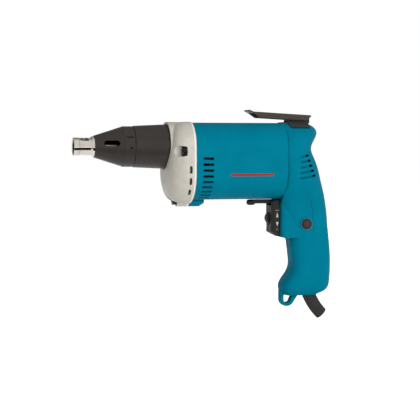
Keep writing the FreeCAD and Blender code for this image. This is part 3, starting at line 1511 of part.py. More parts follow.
# Switch body with its lever pin
SWITCH_LOW = "-(switch_top + switch_height)"
switch_case = padded("switch_case", (
    ("switch_from", "-switch_top"),
    ("switch_from", f"{SWITCH_LOW} + switch_edge"),
    ("switch_from + switch_edge", SWITCH_LOW),
    (f"{SWITCH_END} - switch_edge", SWITCH_LOW),
    (SWITCH_END, f"{SWITCH_LOW} + switch_edge"),
    (SWITCH_END, "-switch_top - switch_edge"),
    (f"{SWITCH_END} - switch_edge", "-switch_top"),
), "switch_half_width")
lever_pin = rod(
    "lever_pin", "lever_pin_radius", "switch_top - lever_top",
    ("lever_pivot_x", "0", "-switch_top"), UPRIGHT,
)
plunger_hole = rod(
    "plunger_hole", "plunger_radius + slide_gap", "plunger_length", ("switch_from", "0", "-plunger_drop"),
)
switch_whole = fused("switch_whole", [switch_case, lever_pin])
keep("switch_body", less("switch_body_cut", switch_whole, [plunger_hole]))

# Trigger with its plunger, dial pin and a slot that the reversing lever swings in
trigger_case = padded("trigger_case", (
    ("trigger_rear", "-trigger_top"),
    ("trigger_front + trigger_corner", "-trigger_top"),
    ("trigger_front", "-trigger_top - trigger_corner"),
    ("trigger_front", "-trigger_bottom + trigger_toe_height"),
    ("trigger_front + trigger_toe", "-trigger_bottom"),
    ("trigger_rear", "-trigger_bottom"),
), "trigger_half_width")
doc.recompute()
trigger_pad = trigger_case.Tip
front_edges = [
    f"Edge{i}" for i, edge in enumerate(trigger_pad.Shape.Edges, start=1)
    if edge.BoundBox.YLength < SAME_POINT and edge.BoundBox.XMax < val("trigger_rear")
]
easing = trigger_case.newObject("PartDesign::Fillet", "trigger_easing")
easing.Base = (trigger_pad, front_edges)
easing.setExpression("Radius", bound("trigger_edge"))
DIAL_X = "(trigger_front + dial_radius - dial_show)"
dial_room = rod(
    "dial_room", "dial_radius + dial_gap", "2 * (dial_half_width + slide_gap)",
    (DIAL_X, "-dial_half_width - slide_gap", "-dial_drop"), ALONG_Y,
)
dial_pin = rod(
    "dial_pin", "dial_pin_radius", "2 * (dial_half_width + dial_show)",
    (DIAL_X, "-dial_half_width - dial_show", "-dial_drop"), ALONG_Y,
)
plunger = rod("plunger", "plunger_radius", "plunger_length", ("trigger_rear", "0", "-plunger_drop"))
lever_slot = block(
    "lever_slot", ("trigger_rear - trigger_front", "2 * lever_slot_half_width", "lever_slot_floor - trigger_top"),
    ("trigger_front", "-lever_slot_half_width", "-lever_slot_floor"),
)
trigger_cut = less("trigger_cut", trigger_case, [dial_room, lever_slot])
keep("trigger", fused("trigger_whole", [trigger_cut, dial_pin, plunger]))
keep("trigger_spring", formed("trigger_spring_coil", spring(
    val("trigger_coil_radius"), val("trigger_wire_radius"), val("switch_from - trigger_rear"),
    val("trigger_coil_turns"), (val("trigger_rear"), 0, -val("plunger_drop")), (1, 0, 0),
)))

# Speed dial: a knurled wheel on the trigger's pin
dial_z = -val("dial_drop")
dial_x = val(DIAL_X)
half = val("dial_half_width")
dial = pin(dial_x, dial_z, -half, half, val("dial_radius"))
dial = dial.cut(pin(dial_x, dial_z, -half, half, val("dial_pin_radius") + gap))
knurls = []
for n in range(int(val("dial_knurl_count"))):
    tooth = box(
        (dial_x - val("dial_knurl_width / 2"), -half, dial_z + val("dial_radius - dial_knurl_depth")),
        (dial_x + val("dial_knurl_width / 2"), half, dial_z + val("dial_radius + dial_knurl_depth")),
    )
    turn = 360 * n / val("dial_knurl_count")
    tooth.rotate(FreeCAD.Vector(dial_x, 0, dial_z), FreeCAD.Vector(0, 1, 0), turn)
    knurls.append(tooth)
keep("speed_dial", formed("speed_dial_wheel", dial.cut(knurls)))

# Reversing lever above the trigger
LEVER_LOW = "-(lever_top + lever_height)"
tip_at = FreeCAD.Vector(val("lever_front + lever_tip_radius"), 0, val(LEVER_LOW))
tip_round = Part.makeCylinder(val("lever_tip_radius"), val("lever_height"), tip_at)
tip_rims = [e for e in tip_round.Edges if e.BoundBox.ZLength < SAME_POINT]
lever_tip = formed("lever_tip", tip_round.makeFillet(val("lever_tip_edge"), tip_rims))
lever_hub = rod("lever_hub", "lever_hub_radius", "lever_height", ("lever_pivot_x", "0", LEVER_LOW), UPRIGHT)
lever_arm = block(
    "lever_arm", ("lever_pivot_x - lever_front - lever_tip_radius", "2 * lever_half_width", "lever_arm_height"),
    ("lever_front + lever_tip_radius", "-lever_half_width", "-(lever_top + lever_arm_height)"),
)
lever_hole = rod(
    "lever_hole", "lever_pin_radius + run_gap", "lever_height", ("lever_pivot_x", "0", LEVER_LOW), UPRIGHT,
)
lever_whole = fused("lever_whole", [lever_tip, lever_hub, lever_arm])
keep("reversing_lever", less("reversing_lever_cut", lever_whole, [lever_hole]))

# Lock button and its spring
BUTTON_AT = ("button_x", "-button_face", "-button_drop")
button_stem = rod("button_stem", "button_radius", "button_length", BUTTON_AT, ALONG_Y)
button_hollow = rod("button_hollow", "button_hollow_radius", "button_hollow_depth", BUTTON_AT, ALONG_Y)
keep("lock_button", less("lock_button_cut", button_stem, [button_hollow]))
button_back = val("button_face - button_length")
keep("lock_button_spring", formed("lock_button_spring_coil", spring(
    val("button_coil_radius"), val("button_wire_radius"), button_back - val("switch_half_width"),
    val("button_coil_turns"), (val("button_x"), -button_back, -val("button_drop")), (0, 1, 0),
)))

# Leads from the brush holders through the bulkhead to the switch
leads = []
lead_start = val(f"brush_x + {HOLDER_HALF}")
ahead_of_leads = box((joint, -far_reach, -val("shell_height")), (lead_start, far_reach, body_top))
for side in (1, -1):
    wire_points = [
        FreeCAD.Vector(lead_start, side * val("lead_brush_y"), -drop),
        FreeCAD.Vector(seam - val("bulkhead_length"), side * val("lead_window_y"), -val("lead_window_drop")),
        FreeCAD.Vector(seam, side * val("lead_window_y"), -val("lead_window_drop")),
        FreeCAD.Vector(val("lead_switch_x"), side * val("lead_switch_y"), val("lead_bend") - val("switch_top")),
        FreeCAD.Vector(val("lead_switch_x"), side * val("lead_switch_y"), -val("switch_top")),
    ]
    curve = Part.BSplineCurve()
    curve.interpolate(wire_points)
    run = Part.Wire(curve.toShape())
    heading = curve.tangent(curve.FirstParameter)[0]
    section = Part.Wire(Part.makeCircle(val("lead_radius"), wire_points[0], heading))
    lead = run.makePipeShell([section], True, False).cut([switch_room, ahead_of_leads])
    leads.append(formed("motor_lead", lead))
keep("motor_leads", grouped("motor_leads_set", leads))

# Suppressor capacitor and cord clamp inside the handle
keep("capacitor", block(
    "capacitor_block", ("capacitor_length", "2 * capacitor_half_width", "capacitor_height"),
    ("capacitor_from", "-capacitor_half_width", "-capacitor_top - capacitor_height"),
))
CLAMP_Y = "-(clamp_from_middle + clamp_thickness)"
CLAMP_MIDDLE = "-(clamp_top + clamp_height / 2)"
clamp_bar = block(
    "clamp_bar", ("clamp_length", "clamp_thickness", "clamp_height"),
    ("clamp_from", CLAMP_Y, "-clamp_top - clamp_height"),
)
clamp_holes = []
clamp_screws = []
for x in ("clamp_from + clamp_post_inset", "clamp_from + clamp_length - clamp_post_inset"):
    at = (x, CLAMP_Y, CLAMP_MIDDLE)
    clamp_holes.append(rod("clamp_hole", "clamp_screw_radius + run_gap", "clamp_thickness", at, ALONG_Y))
    head = rod(
        "clamp_screw_head", "clamp_screw_head_radius", "clamp_screw_head_height",
        (x, f"{CLAMP_Y} - clamp_screw_head_height", CLAMP_MIDDLE), ALONG_Y,
    )
    shank = rod("clamp_screw_shank", "clamp_screw_radius", "clamp_screw_length", at, ALONG_Y)
    clamp_screws.append(fused("clamp_screw", [head, shank]))
keep("cord_clamp", less("cord_clamp_cut", clamp_bar, clamp_holes))
keep("cord_clamp_screws", grouped("cord_clamp_screws_set", clamp_screws))


# Belt clip: a sloping channel with a turned-up lip and a pointed rear, on a base held by two screws,
# whose saddle follows the round top of the handle
def clip_rise(x):
    """The height of the clip's top face at x, as a formula."""
    fall = "(clip_rear_rise - clip_front_rise) / (clip_rear - clip_front)"
    return f"(clip_front_rise + {fall} * ({x} - clip_front))"


FLANGE_FROM = "(clip_front + clip_flange_from)"
FLANGE_LOW_FROM = "(clip_front + clip_flange_from + clip_flange_slope)"
POINT_FROM = "(clip_rear - clip_point_length)"
LIP_END = "(clip_front + clip_lip_length)"
clip_solid = padded("clip_solid", (
    ("clip_front", f"{clip_rise('clip_front')} + clip_lip_rise - clip_metal"),
    ("clip_front", f"{clip_rise('clip_front')} + clip_lip_rise"),
    (LIP_END, clip_rise(LIP_END)),
    ("clip_rear", clip_rise("clip_rear")),
    ("clip_rear", f"{clip_rise('clip_rear')} - clip_metal"),
    (POINT_FROM, f"{clip_rise(POINT_FROM)} - clip_flange_height"),
    (FLANGE_LOW_FROM, f"{clip_rise(FLANGE_LOW_FROM)} - clip_flange_height"),
    (FLANGE_FROM, f"{clip_rise(FLANGE_FROM)} - clip_metal"),
), "clip_half_width")
clip_hollow = padded("clip_hollow", (
    ("clip_front", f"{clip_rise('clip_front')} - clip_metal - clip_flange_height"),
    ("clip_front", f"{clip_rise('clip_front')} + clip_lip_rise - clip_metal"),
    (FLANGE_FROM, f"{clip_rise(FLANGE_FROM)} - clip_metal"),
    ("clip_rear", f"{clip_rise('clip_rear')} - clip_metal"),
    ("clip_rear", f"{clip_rise('clip_rear')} - clip_metal - clip_flange_height"),
), "(clip_half_width - clip_metal)")
keep("belt_clip", less("belt_clip_cut", clip_solid, [clip_hollow]))
BASE_END = "(base_from + base_length)"
base_block = padded("base_block", (
    ("base_from", "body_top"),
    ("base_from", f"{clip_rise('base_from')} - clip_metal"),
    (BASE_END, f"{clip_rise(BASE_END)} - clip_metal"),
    (BASE_END, "body_top"),
), "base_half_width")
base_end = val(BASE_END)
saddle_low = body_top - val("saddle_drop")
saddle_from = val("base_from - saddle_lead")
saddle_end = base_end - val("saddle_lead")
saddle_sides = shell_loft(-val("saddle_thickness"), 0).common(box(
    (saddle_from, -far_reach, saddle_low), (saddle_end, far_reach, body_top),
))
saddle_top = box(
    (saddle_from, -val("saddle_half_width"), saddle_low),
    (saddle_end, val("saddle_half_width"), body_top + val("saddle_rise")),
)
saddle = formed("clip_saddle", saddle_sides.fuse(saddle_top).cut(handle_form))
base_holes = []
clip_screws = []
for y in ("clip_screw_y", "-clip_screw_y"):
    x = "base_from + base_length / 2"
    shank_at = (x, y, "body_top - wall")
    hole_radius = "clip_screw_radius + run_gap"
    base_holes.append(rod("base_hole", hole_radius, "clip_screw_length", shank_at, UPRIGHT))
    shank = rod("clip_screw_shank", "clip_screw_radius", "clip_screw_length", shank_at, UPRIGHT)
    head_at = (x, y, "body_top - wall - clip_screw_head_height")
    head = rod("clip_screw_head", "clip_screw_head_radius", "clip_screw_head_height", head_at, UPRIGHT)
    clip_screws.append(fused("clip_screw", [head, shank]))
keep("clip_base", less("clip_base_cut", fused("clip_base_whole", [base_block, saddle]), base_holes))
keep("clip_screws", grouped("clip_screws_set", clip_screws))

doc.recompute()
os.makedirs("parts", exist_ok=True)
for thing in doc.Objects:
    if {"Invalid", "Error"} & set(thing.State):
        raise RuntimeError(f"{thing.Label} did not build")
for piece in pieces:
    if piece.Shape.isNull() or not piece.Shape.isValid():
        raise RuntimeError(f"{piece.Label} has no sound shape")
for piece in pieces:
    piece.Shape.exportStep(f"parts/{piece.Label}.step")
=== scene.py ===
"""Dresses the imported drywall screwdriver: finishes, marks, small trim, springs, camera and studio light."""
import json
import math

import bmesh
import bpy
from mathutils import Matrix, Vector
from mathutils.bvhtree import BVHTree

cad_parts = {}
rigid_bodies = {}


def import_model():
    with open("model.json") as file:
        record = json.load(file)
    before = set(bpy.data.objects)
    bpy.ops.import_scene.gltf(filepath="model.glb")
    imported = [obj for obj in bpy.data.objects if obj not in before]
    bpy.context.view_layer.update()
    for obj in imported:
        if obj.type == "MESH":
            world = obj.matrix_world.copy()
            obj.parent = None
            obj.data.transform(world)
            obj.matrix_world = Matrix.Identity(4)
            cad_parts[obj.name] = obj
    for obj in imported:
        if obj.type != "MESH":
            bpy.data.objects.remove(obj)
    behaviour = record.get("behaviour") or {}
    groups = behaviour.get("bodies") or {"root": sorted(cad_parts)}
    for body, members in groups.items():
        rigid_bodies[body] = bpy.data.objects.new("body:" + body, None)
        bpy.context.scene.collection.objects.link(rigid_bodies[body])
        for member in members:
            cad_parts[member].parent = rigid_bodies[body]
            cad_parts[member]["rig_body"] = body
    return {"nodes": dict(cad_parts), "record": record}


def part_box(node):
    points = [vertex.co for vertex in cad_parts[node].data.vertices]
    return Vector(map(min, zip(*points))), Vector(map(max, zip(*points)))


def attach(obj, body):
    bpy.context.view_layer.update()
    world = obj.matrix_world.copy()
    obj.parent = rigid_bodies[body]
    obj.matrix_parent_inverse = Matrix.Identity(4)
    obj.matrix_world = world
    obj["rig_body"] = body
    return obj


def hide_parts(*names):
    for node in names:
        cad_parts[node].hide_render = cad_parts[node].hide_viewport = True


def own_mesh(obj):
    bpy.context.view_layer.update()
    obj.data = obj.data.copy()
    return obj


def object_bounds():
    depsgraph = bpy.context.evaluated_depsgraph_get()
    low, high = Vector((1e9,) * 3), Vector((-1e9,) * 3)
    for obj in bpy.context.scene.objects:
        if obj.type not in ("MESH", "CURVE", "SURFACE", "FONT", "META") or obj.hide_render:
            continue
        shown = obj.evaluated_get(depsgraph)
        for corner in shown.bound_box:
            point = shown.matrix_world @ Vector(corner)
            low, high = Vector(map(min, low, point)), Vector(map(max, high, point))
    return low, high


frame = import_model()
cad_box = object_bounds()
nodes = frame["nodes"]

MM = 0.001

# Camera: where it looks, how far off it stands, and how it is turned
LOOK_AT = Vector((140.0, 0.0, -64.9)) * MM
CAMERA_DISTANCE = 1.2
CAMERA_TURN = math.radians(-15.0)
CAMERA_RISE = math.radians(3.1)
FOCAL_LENGTH = 101.1
SENSOR_WIDTH = 36.0
FRAME_SHIFT = 0.0012

# Light from all round: its level, and how it falls off overhead and towards the nose's side
AMBIENT = 0.46
OVERHEAD_SHARE = 0.45
OVERHEAD_FROM = 0.25
OVERHEAD_TO = 1.0
LEFT_SHARE = 0.3
LEFT_FROM = -0.9
LEFT_TO = -0.1

# The studio in reflections: how bright its back is, and between which headings it dims
BACK_SHARE = 0.35
BACK_FROM = -0.1
BACK_TO = 0.5

# Lamps: place and size in metres, power in watts
LAMPS = {
    "front_light": ((0.3, -1.5, 0.2), (1.8, 0.7), 14.3),
    "back_light": ((0.1, 1.5, 0.2), (1.8, 0.7), 10.0),
    "top_light": ((0.14, 0.1, 1.3), (1.0, 1.0), 1.5),
}

# Colours as sRGB bytes are turned into linear ones by the standard curve
BYTE_TOP = 255
CURVE_SLOPE = 12.92
CURVE_KNEE = 0.04045
CURVE_OFFSET = 0.055
CURVE_POWER = 2.4


def srgb(red, green, blue):
    """The linear colour of three sRGB bytes."""
    def linear(byte):
        share = byte / BYTE_TOP
        if share <= CURVE_KNEE:
            return share / CURVE_SLOPE
        return ((share + CURVE_OFFSET) / (1 + CURVE_OFFSET)) ** CURVE_POWER
    return (linear(red), linear(green), linear(blue), 1.0)


def grey(share):
    """A colour with a share of white."""
    return (share, share, share, 1.0)


def shaded(colour, share):
    """A colour made darker or lighter by a share."""
    return tuple(min(1.0, share * part) for part in colour[:3]) + (1.0,)


# Node graph helpers
def begin(name, **constants):
    """A new material, with the shader's own sockets set."""
    material = bpy.data.materials.new(name)
    material.use_nodes = True
    shader = material.node_tree.nodes["Principled BSDF"]
    for socket, value in constants.items():
        shader.inputs[socket.replace("_", " ")].default_value = value
    return material, material.node_tree, shader


def feed(tree, socket, value):
    """Links a socket to another one, or sets it to a value."""
    if isinstance(value, bpy.types.NodeSocket):
        tree.links.new(value, socket)
    else:
        socket.default_value = value


def add(tree, kind, inputs=None, **settings):
    """A node with its settings, and its inputs linked or set."""
    made = tree.nodes.new(kind)
    for name, value in settings.items():
        setattr(made, name, value)
    for name, value in (inputs or {}).items():
        feed(tree, made.inputs[name], value)
    return made


def maths(tree, operation, first, second=0.0):
    """The result of one sum on two values."""
    return add(tree, "ShaderNodeMath", {0: first, 1: second}, operation=operation).outputs["Value"]


def ranged(tree, value, low, high, to_low, to_high):
    """A value moved from one range to another, and held within it."""
    inputs = {"Value": value, "From Min": low, "From Max": high, "To Min": to_low, "To Max": to_high}
    return add(tree, "ShaderNodeMapRange", inputs).outputs["Result"]


def spot(tree):
    """Where a point of the piece is, in metres."""
    return add(tree, "ShaderNodeTexCoord").outputs["Object"]


def along_axis(tree, axis):
    """Where a point of the piece is along one axis, in metres."""
    return add(tree, "ShaderNodeSeparateXYZ", {0: spot(tree)}).outputs[axis]


def cloud(tree, grain, detail=3.0, stretch=None):
    """Noise whose grain is a length in metres, drawn out by a stretch along each axis."""
    where = spot(tree)
    if stretch:
        where = add(tree, "ShaderNodeMapping", {"Vector": where, "Scale": stretch}).outputs["Vector"]
    noise = add(tree, "ShaderNodeTexNoise", {"Vector": where, "Scale": 1 / grain, "Detail": detail})
    return noise.outputs["Fac"]


# Noise values between which tones and roughness change, and how far roughness swings
NOISE_LOW = 0.3
NOISE_HIGH = 0.7
ROUGH_SWING = 0.06

# Edges: how far round a normal has turned where the painted sheen is full and where it ends
EDGE_SHEEN_FULL = 0.80
EDGE_SHEEN_NONE = 0.98
EDGE_SAMPLES = 4

# Painted shade in gaps: how far it reaches, and between which openness it grows
GAP_REACH = 5 * MM
WIDE_SHADE_REACH = 24 * MM
GAP_DEEP = 0.35
GAP_OPEN = 0.85
PAINTED_SHADE_SHARE = 0.3
GAP_SAMPLES = 8


def tinted(tree, factor, dark, light):
    """A colour between two by a noise value."""
    made = add(tree, "ShaderNodeValToRGB", {"Fac": factor})
    stops = made.color_ramp.elements
    for stop, place, colour in zip(stops, (NOISE_LOW, NOISE_HIGH), (dark, light)):
        stop.position = place
        stop.color = colour
    return made.outputs["Color"]


def mixed(tree, factor, under, above, blend="MIX"):
    """One colour laid over another by a factor."""
    mix = add(tree, "ShaderNodeMix", data_type="RGBA", blend_type=blend)
    layers = [socket for socket in mix.inputs if socket.type == "RGBA"]
    for socket, value in zip([mix.inputs["Factor"]] + layers, (factor, under, above)):
        feed(tree, socket, value)
    return [socket for socket in mix.outputs if socket.type == "RGBA"][0]


def eased(tree, radius):
    """Normals as if sharp edges were rounded to a radius."""
    return add(tree, "ShaderNodeBevel", {"Radius": radius}, samples=EDGE_SAMPLES).outputs["Normal"]


def edge_sheen(tree, round_normal, sheen_share):
    """How much painted sheen a point gets: 0 on faces, and the full share on edges."""
    flat_normal = add(tree, "ShaderNodeNewGeometry").outputs["Normal"]
    inputs = {0: round_normal, 1: flat_normal}
    alike = add(tree, "ShaderNodeVectorMath", inputs, operation="DOT_PRODUCT").outputs["Value"]
    return maths(tree, "MULTIPLY", ranged(tree, alike, EDGE_SHEEN_FULL, EDGE_SHEEN_NONE, 1.0, 0.0), sheen_share)


def painted_shade_mask(tree, reach):
    """How deep in a gap a point is, by what lies within reach of it: 0 on free faces, 1 deep in a gap. It
    masks the painted shade.
    """
    inputs = {"Distance": reach}
    openness = add(tree, "ShaderNodeAmbientOcclusion", inputs, samples=GAP_SAMPLES).outputs["AO"]
    return ranged(tree, openness, GAP_DEEP, GAP_OPEN, 1.0, 0.0)


def patchy(tree, rough, grain, detail):
    """A roughness that swings a little from patch to patch."""
    noise = cloud(tree, grain, detail)
    return ranged(tree, noise, NOISE_LOW, NOISE_HIGH, rough - ROUGH_SWING, rough + ROUGH_SWING)


def bumped(tree, height, depth, strength, normal):
    """Normals raised by a height field."""
    inputs = {"Height": height, "Distance": depth, "Strength": strength, "Normal": normal}
    return add(tree, "ShaderNodeBump", inputs).outputs["Normal"]


def finished(tree, shader, colour, roughness, normal):
    """Links a colour, a roughness and normals to the shader."""
    tree.links.new(colour, shader.inputs["Base Color"])
    tree.links.new(roughness, shader.inputs["Roughness"])
    tree.links.new(normal, shader.inputs["Normal"])


# Moulded skins: slow changes of tone, fine flecks, patches of polish, pits, and a seam between halves
TONE_GRAIN = 22 * MM
TONE_SHARES = (0.94, 1.05)
FLECK_GRAIN_SHARE = 3
FLECK_SHARES = (0.95, 1.04)
FINE_DETAIL = 2.0
POLISH_GRAIN = 6 * MM
POLISH_DETAIL = 3.0
PIT_DEPTH_SHARE = 0.25
PIT_STRENGTH = 0.3
SEAM_SHADE = 0.35


def moulded(
    name, colour, sheen_colour, rough, grain, edge, specular,
    sheen_share=0.5, seam=0.0, reach=GAP_REACH, painted_gap_darkness=PAINTED_SHADE_SHARE,
):
    """Moulded plastic or rubber: a fine pitted skin, slow changes of tone, painted shade in gaps, and edges
    lightened by a painted sheen.
    """
    material, tree, shader = begin(name, Specular_IOR_Level=specular)
    tone = tinted(tree, cloud(tree, TONE_GRAIN), *(shaded(colour, share) for share in TONE_SHARES))
    flecks = cloud(tree, grain * FLECK_GRAIN_SHARE, FINE_DETAIL)
    base = mixed(tree, 1.0, tone, tinted(tree, flecks, *map(grey, FLECK_SHARES)), "MULTIPLY")
    # painted shade: darker in gaps, slots and under overhangs, by what lies within reach
    base = mixed(tree, painted_shade_mask(tree, reach), base, shaded(colour, painted_gap_darkness))
    if seam:
        across = maths(tree, "ABSOLUTE", along_axis(tree, "Y"))
        base = mixed(tree, ranged(tree, across, seam / 2, seam, 1.0, 0.0), base, shaded(colour, SEAM_SHADE))
    round_normal = eased(tree, edge)
    # painted sheen: edges lighter, as if they caught the light
    sheen_mask = edge_sheen(tree, round_normal, sheen_share)
    roughness = patchy(tree, rough, POLISH_GRAIN, POLISH_DETAIL)
    pits = cloud(tree, grain, FINE_DETAIL)
    skin = bumped(tree, pits, grain * PIT_DEPTH_SHARE, PIT_STRENGTH, round_normal)
    finished(tree, shader, mixed(tree, sheen_mask, base, sheen_colour), roughness, skin)
    return material


# Metal skins: stains, painted shade in gaps, patches of polish, edges lightened by a painted sheen, and a
# painted highlight behind a flange
STAIN_GRAIN = 9 * MM
STAIN_DETAIL = 5.0
BUFF_GRAIN = 4 * MM
BUFF_DETAIL = 4.0
LINE_DETAIL = 3.0
METAL_SHEEN = 0.4
METAL_SHEEN_SHARE = 1.3
FLANGE_BLEND = 0.3 * MM
FLANGE_HIGHLIGHT_SHARE = 1.4


def metal(
    name, colour, rough, grain, edge,
    stretch=None, metallic=1.0, depth=0.2, strength=0.3, tone_shares=(0.88, 1.08), flange=0.0,
):
    """Metal with a worked or cast surface, drawn out along a stretch where it was turned or ground.
    Behind a flange's place along the tool it is lighter, a painted highlight along the rear flange's edge."""
    material, tree, shader = begin(name, Metallic=metallic)
    stains = cloud(tree, STAIN_GRAIN, STAIN_DETAIL)
    tone = tinted(tree, stains, *(shaded(colour, share) for share in tone_shares))
    # painted shade: darker in gaps and recesses, by what lies within reach
    tone = mixed(tree, painted_shade_mask(tree, GAP_REACH), tone, shaded(colour, PAINTED_SHADE_SHARE))
    # painted highlight: the housing lighter behind the flange's place, along its rear edge
    if flange:
        behind = ranged(tree, along_axis(tree, "X"), flange, flange + FLANGE_BLEND, 0.0, 1.0)
        tone = mixed(tree, behind, tone, shaded(colour, FLANGE_HIGHLIGHT_SHARE))
    round_normal = eased(tree, edge)
    # painted sheen: edges lighter, as if they caught the light
    sheen_mask = edge_sheen(tree, round_normal, METAL_SHEEN)
    roughness = patchy(tree, rough, BUFF_GRAIN, BUFF_DETAIL)
    lines = bumped(tree, cloud(tree, grain, LINE_DETAIL, stretch), grain * depth, strength, round_normal)
    finished(tree, shader, mixed(tree, sheen_mask, tone, shaded(colour, METAL_SHEEN_SHARE)), roughness, lines)
    return material


# Finishes by name, most of them the record's material slots
# The teal's painted shade reaches wide: it paints the clip's shadow on the housing's top and darkens the
# joins of housing and handle
TEAL_LOOK = dict(
    colour=srgb(0, 131, 158), sheen_colour=srgb(30, 142, 166),
    rough=0.45, grain=0.5 * MM, edge=0.5 * MM, specular=0.02, sheen_share=0.3, reach=WIDE_SHADE_REACH, painted_gap_darkness=0.45,
)
PLASTICS = {
    "teal_plastic": TEAL_LOOK,
    "teal_handle": dict(TEAL_LOOK, seam=0.16 * MM),
    "black_plastic": dict(
        colour=srgb(55, 51, 48), sheen_colour=srgb(76, 72, 69),
        rough=0.42, grain=0.45 * MM, edge=0.4 * MM, specular=0.22),
    "grey_plastic": dict(
        colour=srgb(84, 92, 95), sheen_colour=srgb(120, 126, 128),
        rough=0.5, grain=0.5 * MM, edge=0.4 * MM, specular=0.25),
    "black_rubber": dict(
        colour=srgb(54, 53, 50), sheen_colour=srgb(74, 73, 70),
        rough=0.66, grain=0.6 * MM, edge=0.5 * MM, specular=0.2),
    "lead_cover": dict(
        colour=srgb(120, 24, 20), sheen_colour=srgb(160, 60, 50),
        rough=0.5, grain=0.5 * MM, edge=0.3 * MM, specular=0.3),
    "carbon": dict(
        colour=srgb(38, 38, 40), sheen_colour=srgb(70, 70, 72),
        rough=0.6, grain=0.3 * MM, edge=0.3 * MM, specular=0.3),
    "trigger_black": dict(
        colour=srgb(46, 48, 45), sheen_colour=srgb(70, 70, 67),
        rough=0.5, grain=0.4 * MM, edge=0.4 * MM, specular=0.15),
    "base_black": dict(
        colour=srgb(52, 56, 58), sheen_colour=srgb(66, 68, 70),
        rough=0.5, grain=0.4 * MM, edge=0.4 * MM, specular=0.15),
}
METALS = {
    "cast_aluminium": dict(
        colour=srgb(220, 215, 203), rough=0.5, grain=0.8 * MM, edge=0.6 * MM,
        metallic=0.05, depth=0.15, tone_shares=(0.92, 1.05), flange=113.9 * MM),
    "bright_steel": dict(
        colour=srgb(200, 194, 185), rough=0.13, grain=0.5 * MM, edge=0.3 * MM,
        stretch=(6, 0.3, 0.3), depth=0.03),
    # The tool steel's dark colour is painted shade, for the spindle and the parts seen deep in the locator's
    # window
    "tool_steel": dict(
        colour=srgb(74, 72, 70), rough=0.36, grain=0.5 * MM, edge=0.3 * MM,
        stretch=(5, 0.4, 0.4), depth=0.08),
    "holder_steel": dict(
        colour=srgb(150, 147, 142), rough=0.3, grain=0.5 * MM, edge=0.3 * MM,
        stretch=(5, 0.4, 0.4), depth=0.08),
    "sintered_bronze": dict(
        colour=srgb(176, 128, 74), rough=0.45, grain=0.4 * MM, edge=0.3 * MM),
    "copper": dict(
        colour=srgb(190, 104, 62), rough=0.35, grain=0.5 * MM, edge=0.3 * MM, stretch=(4, 1, 1)),
    "core_steel": dict(
        colour=srgb(96, 98, 102), rough=0.5, grain=0.5 * MM, edge=0.3 * MM, stretch=(8, 0.3, 0.3)),
    "dark_clip_steel": dict(
        colour=srgb(60, 49, 45), rough=0.5, grain=0.5 * MM, edge=0.2 * MM,
        metallic=0.0, stretch=(0.3, 2, 2)),
    "zinc_steel": dict(
        colour=srgb(48, 46, 44), rough=0.42, grain=0.4 * MM, edge=0.25 * MM),
}

# Thin printed or moulded marks, and thin pieces of painted highlight and shade, share one look and differ in
# colour
PRINT_LOOK = dict(rough=0.5, grain=0.3 * MM, edge=0.05 * MM, specular=0.15, sheen_share=0.0)
PRINTS = {
    "print_white": srgb(222, 214, 214),
    "print_pink": srgb(150, 122, 128),
    "print_red": srgb(188, 48, 50),
    "dot_brown": srgb(138, 92, 78),
    "cap_brown": srgb(96, 54, 46),
    # painted highlight: the lock button rim's lighter teal
    "rim_highlight_teal": srgb(62, 128, 142),
    # painted shade: the crease's darker teal
    "crease_shade_teal": srgb(0, 108, 132),
    # black for the dot, and painted shade for the notch line and the screws' cross recesses
    "black_mark_and_shade": srgb(14, 13, 13),
}
finishes = {}
for name, look in PLASTICS.items():
    finishes[name] = moulded(name, **look)
for name, look in METALS.items():
    finishes[name] = metal(name, **look)
for name, colour in PRINTS.items():
    finishes[name] = moulded(name, colour, colour, **PRINT_LOOK)

# Nodes whose finish isn't the one of their material slot
NODE_FINISHES = {
    "handle_left": "teal_handle",
    "handle_right": "teal_handle",
    "trigger": "trigger_black",
    "reversing_lever": "trigger_black",
    "speed_dial": "trigger_black",
    "clip_base": "base_black",
    "bit_holder": "holder_steel",
}
for part in frame["record"]["subparts"]:
    mesh = nodes[part["node"]].data
    mesh.materials.clear()
    mesh.materials.append(finishes[NODE_FINISHES.get(part["node"], part["material_slot"])])


# Piece helpers
def placed(name, data):
    """A new object in the scene."""
    made = bpy.data.objects.new(name, data)
    bpy.context.scene.collection.objects.link(made)
    return made


def piece(name, shape, finish, body):
    """Links a new piece with its finish, and lets it ride on a body."""
    mesh = bpy.data.meshes.new(name)
    bmesh.ops.recalc_face_normals(shape, faces=shape.faces)
    shape.to_mesh(mesh)
    shape.free()
    mesh.materials.append(finishes[finish])
    made = placed(name, mesh)
    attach(made, body)
    return made


def facing(place, outward):
    """A place in millimetres whose own Z axis looks outward and whose Y axis looks up."""
    turned = Vector(outward).to_track_quat("Z", "Y")
    return Matrix.Translation(Vector(place) * MM) @ turned.to_matrix().to_4x4()


def walled(shape, low, high):
    """Adds the faces between two loops of as many points."""
    for n in range(len(low)):
        shape.faces.new((low[n - 1], low[n], high[n], high[n - 1]))


def stamp(shape, outline, rise, place):
    """Adds a thin raised mark to a shape: an outline in millimetres, lifted by a rise."""
    low = [shape.verts.new(place @ (Vector((x, y, 0.0)) * MM)) for x, y in outline]
    high = [shape.verts.new(place @ (Vector((x, y, rise)) * MM)) for x, y in outline]
    shape.faces.new(high)
    shape.faces.new(low[::-1])
    walled(shape, low, high)


def turn(shape, profile, place, ring=False, steps=40):
    """Adds a turned form to a shape: a profile of (radius, height) in millimetres round a place's Z axis."""
    angles = [2 * math.pi * n / steps for n in range(steps)]
    loops = []
    for radius, height in profile:
        points = [Vector((radius * math.cos(a), radius * math.sin(a), height)) * MM for a in angles]
        loops.append([shape.verts.new(place @ point) for point in points])
    pairs = list(zip(loops, loops[1:]))
    if ring:
        pairs.append((loops[-1], loops[0]))
    else:
        shape.faces.new(loops[0][::-1])
        shape.faces.new(loops[-1])
    for low, high in pairs:
        walled(shape, low, high)
    for face in shape.faces:
        face.smooth = True


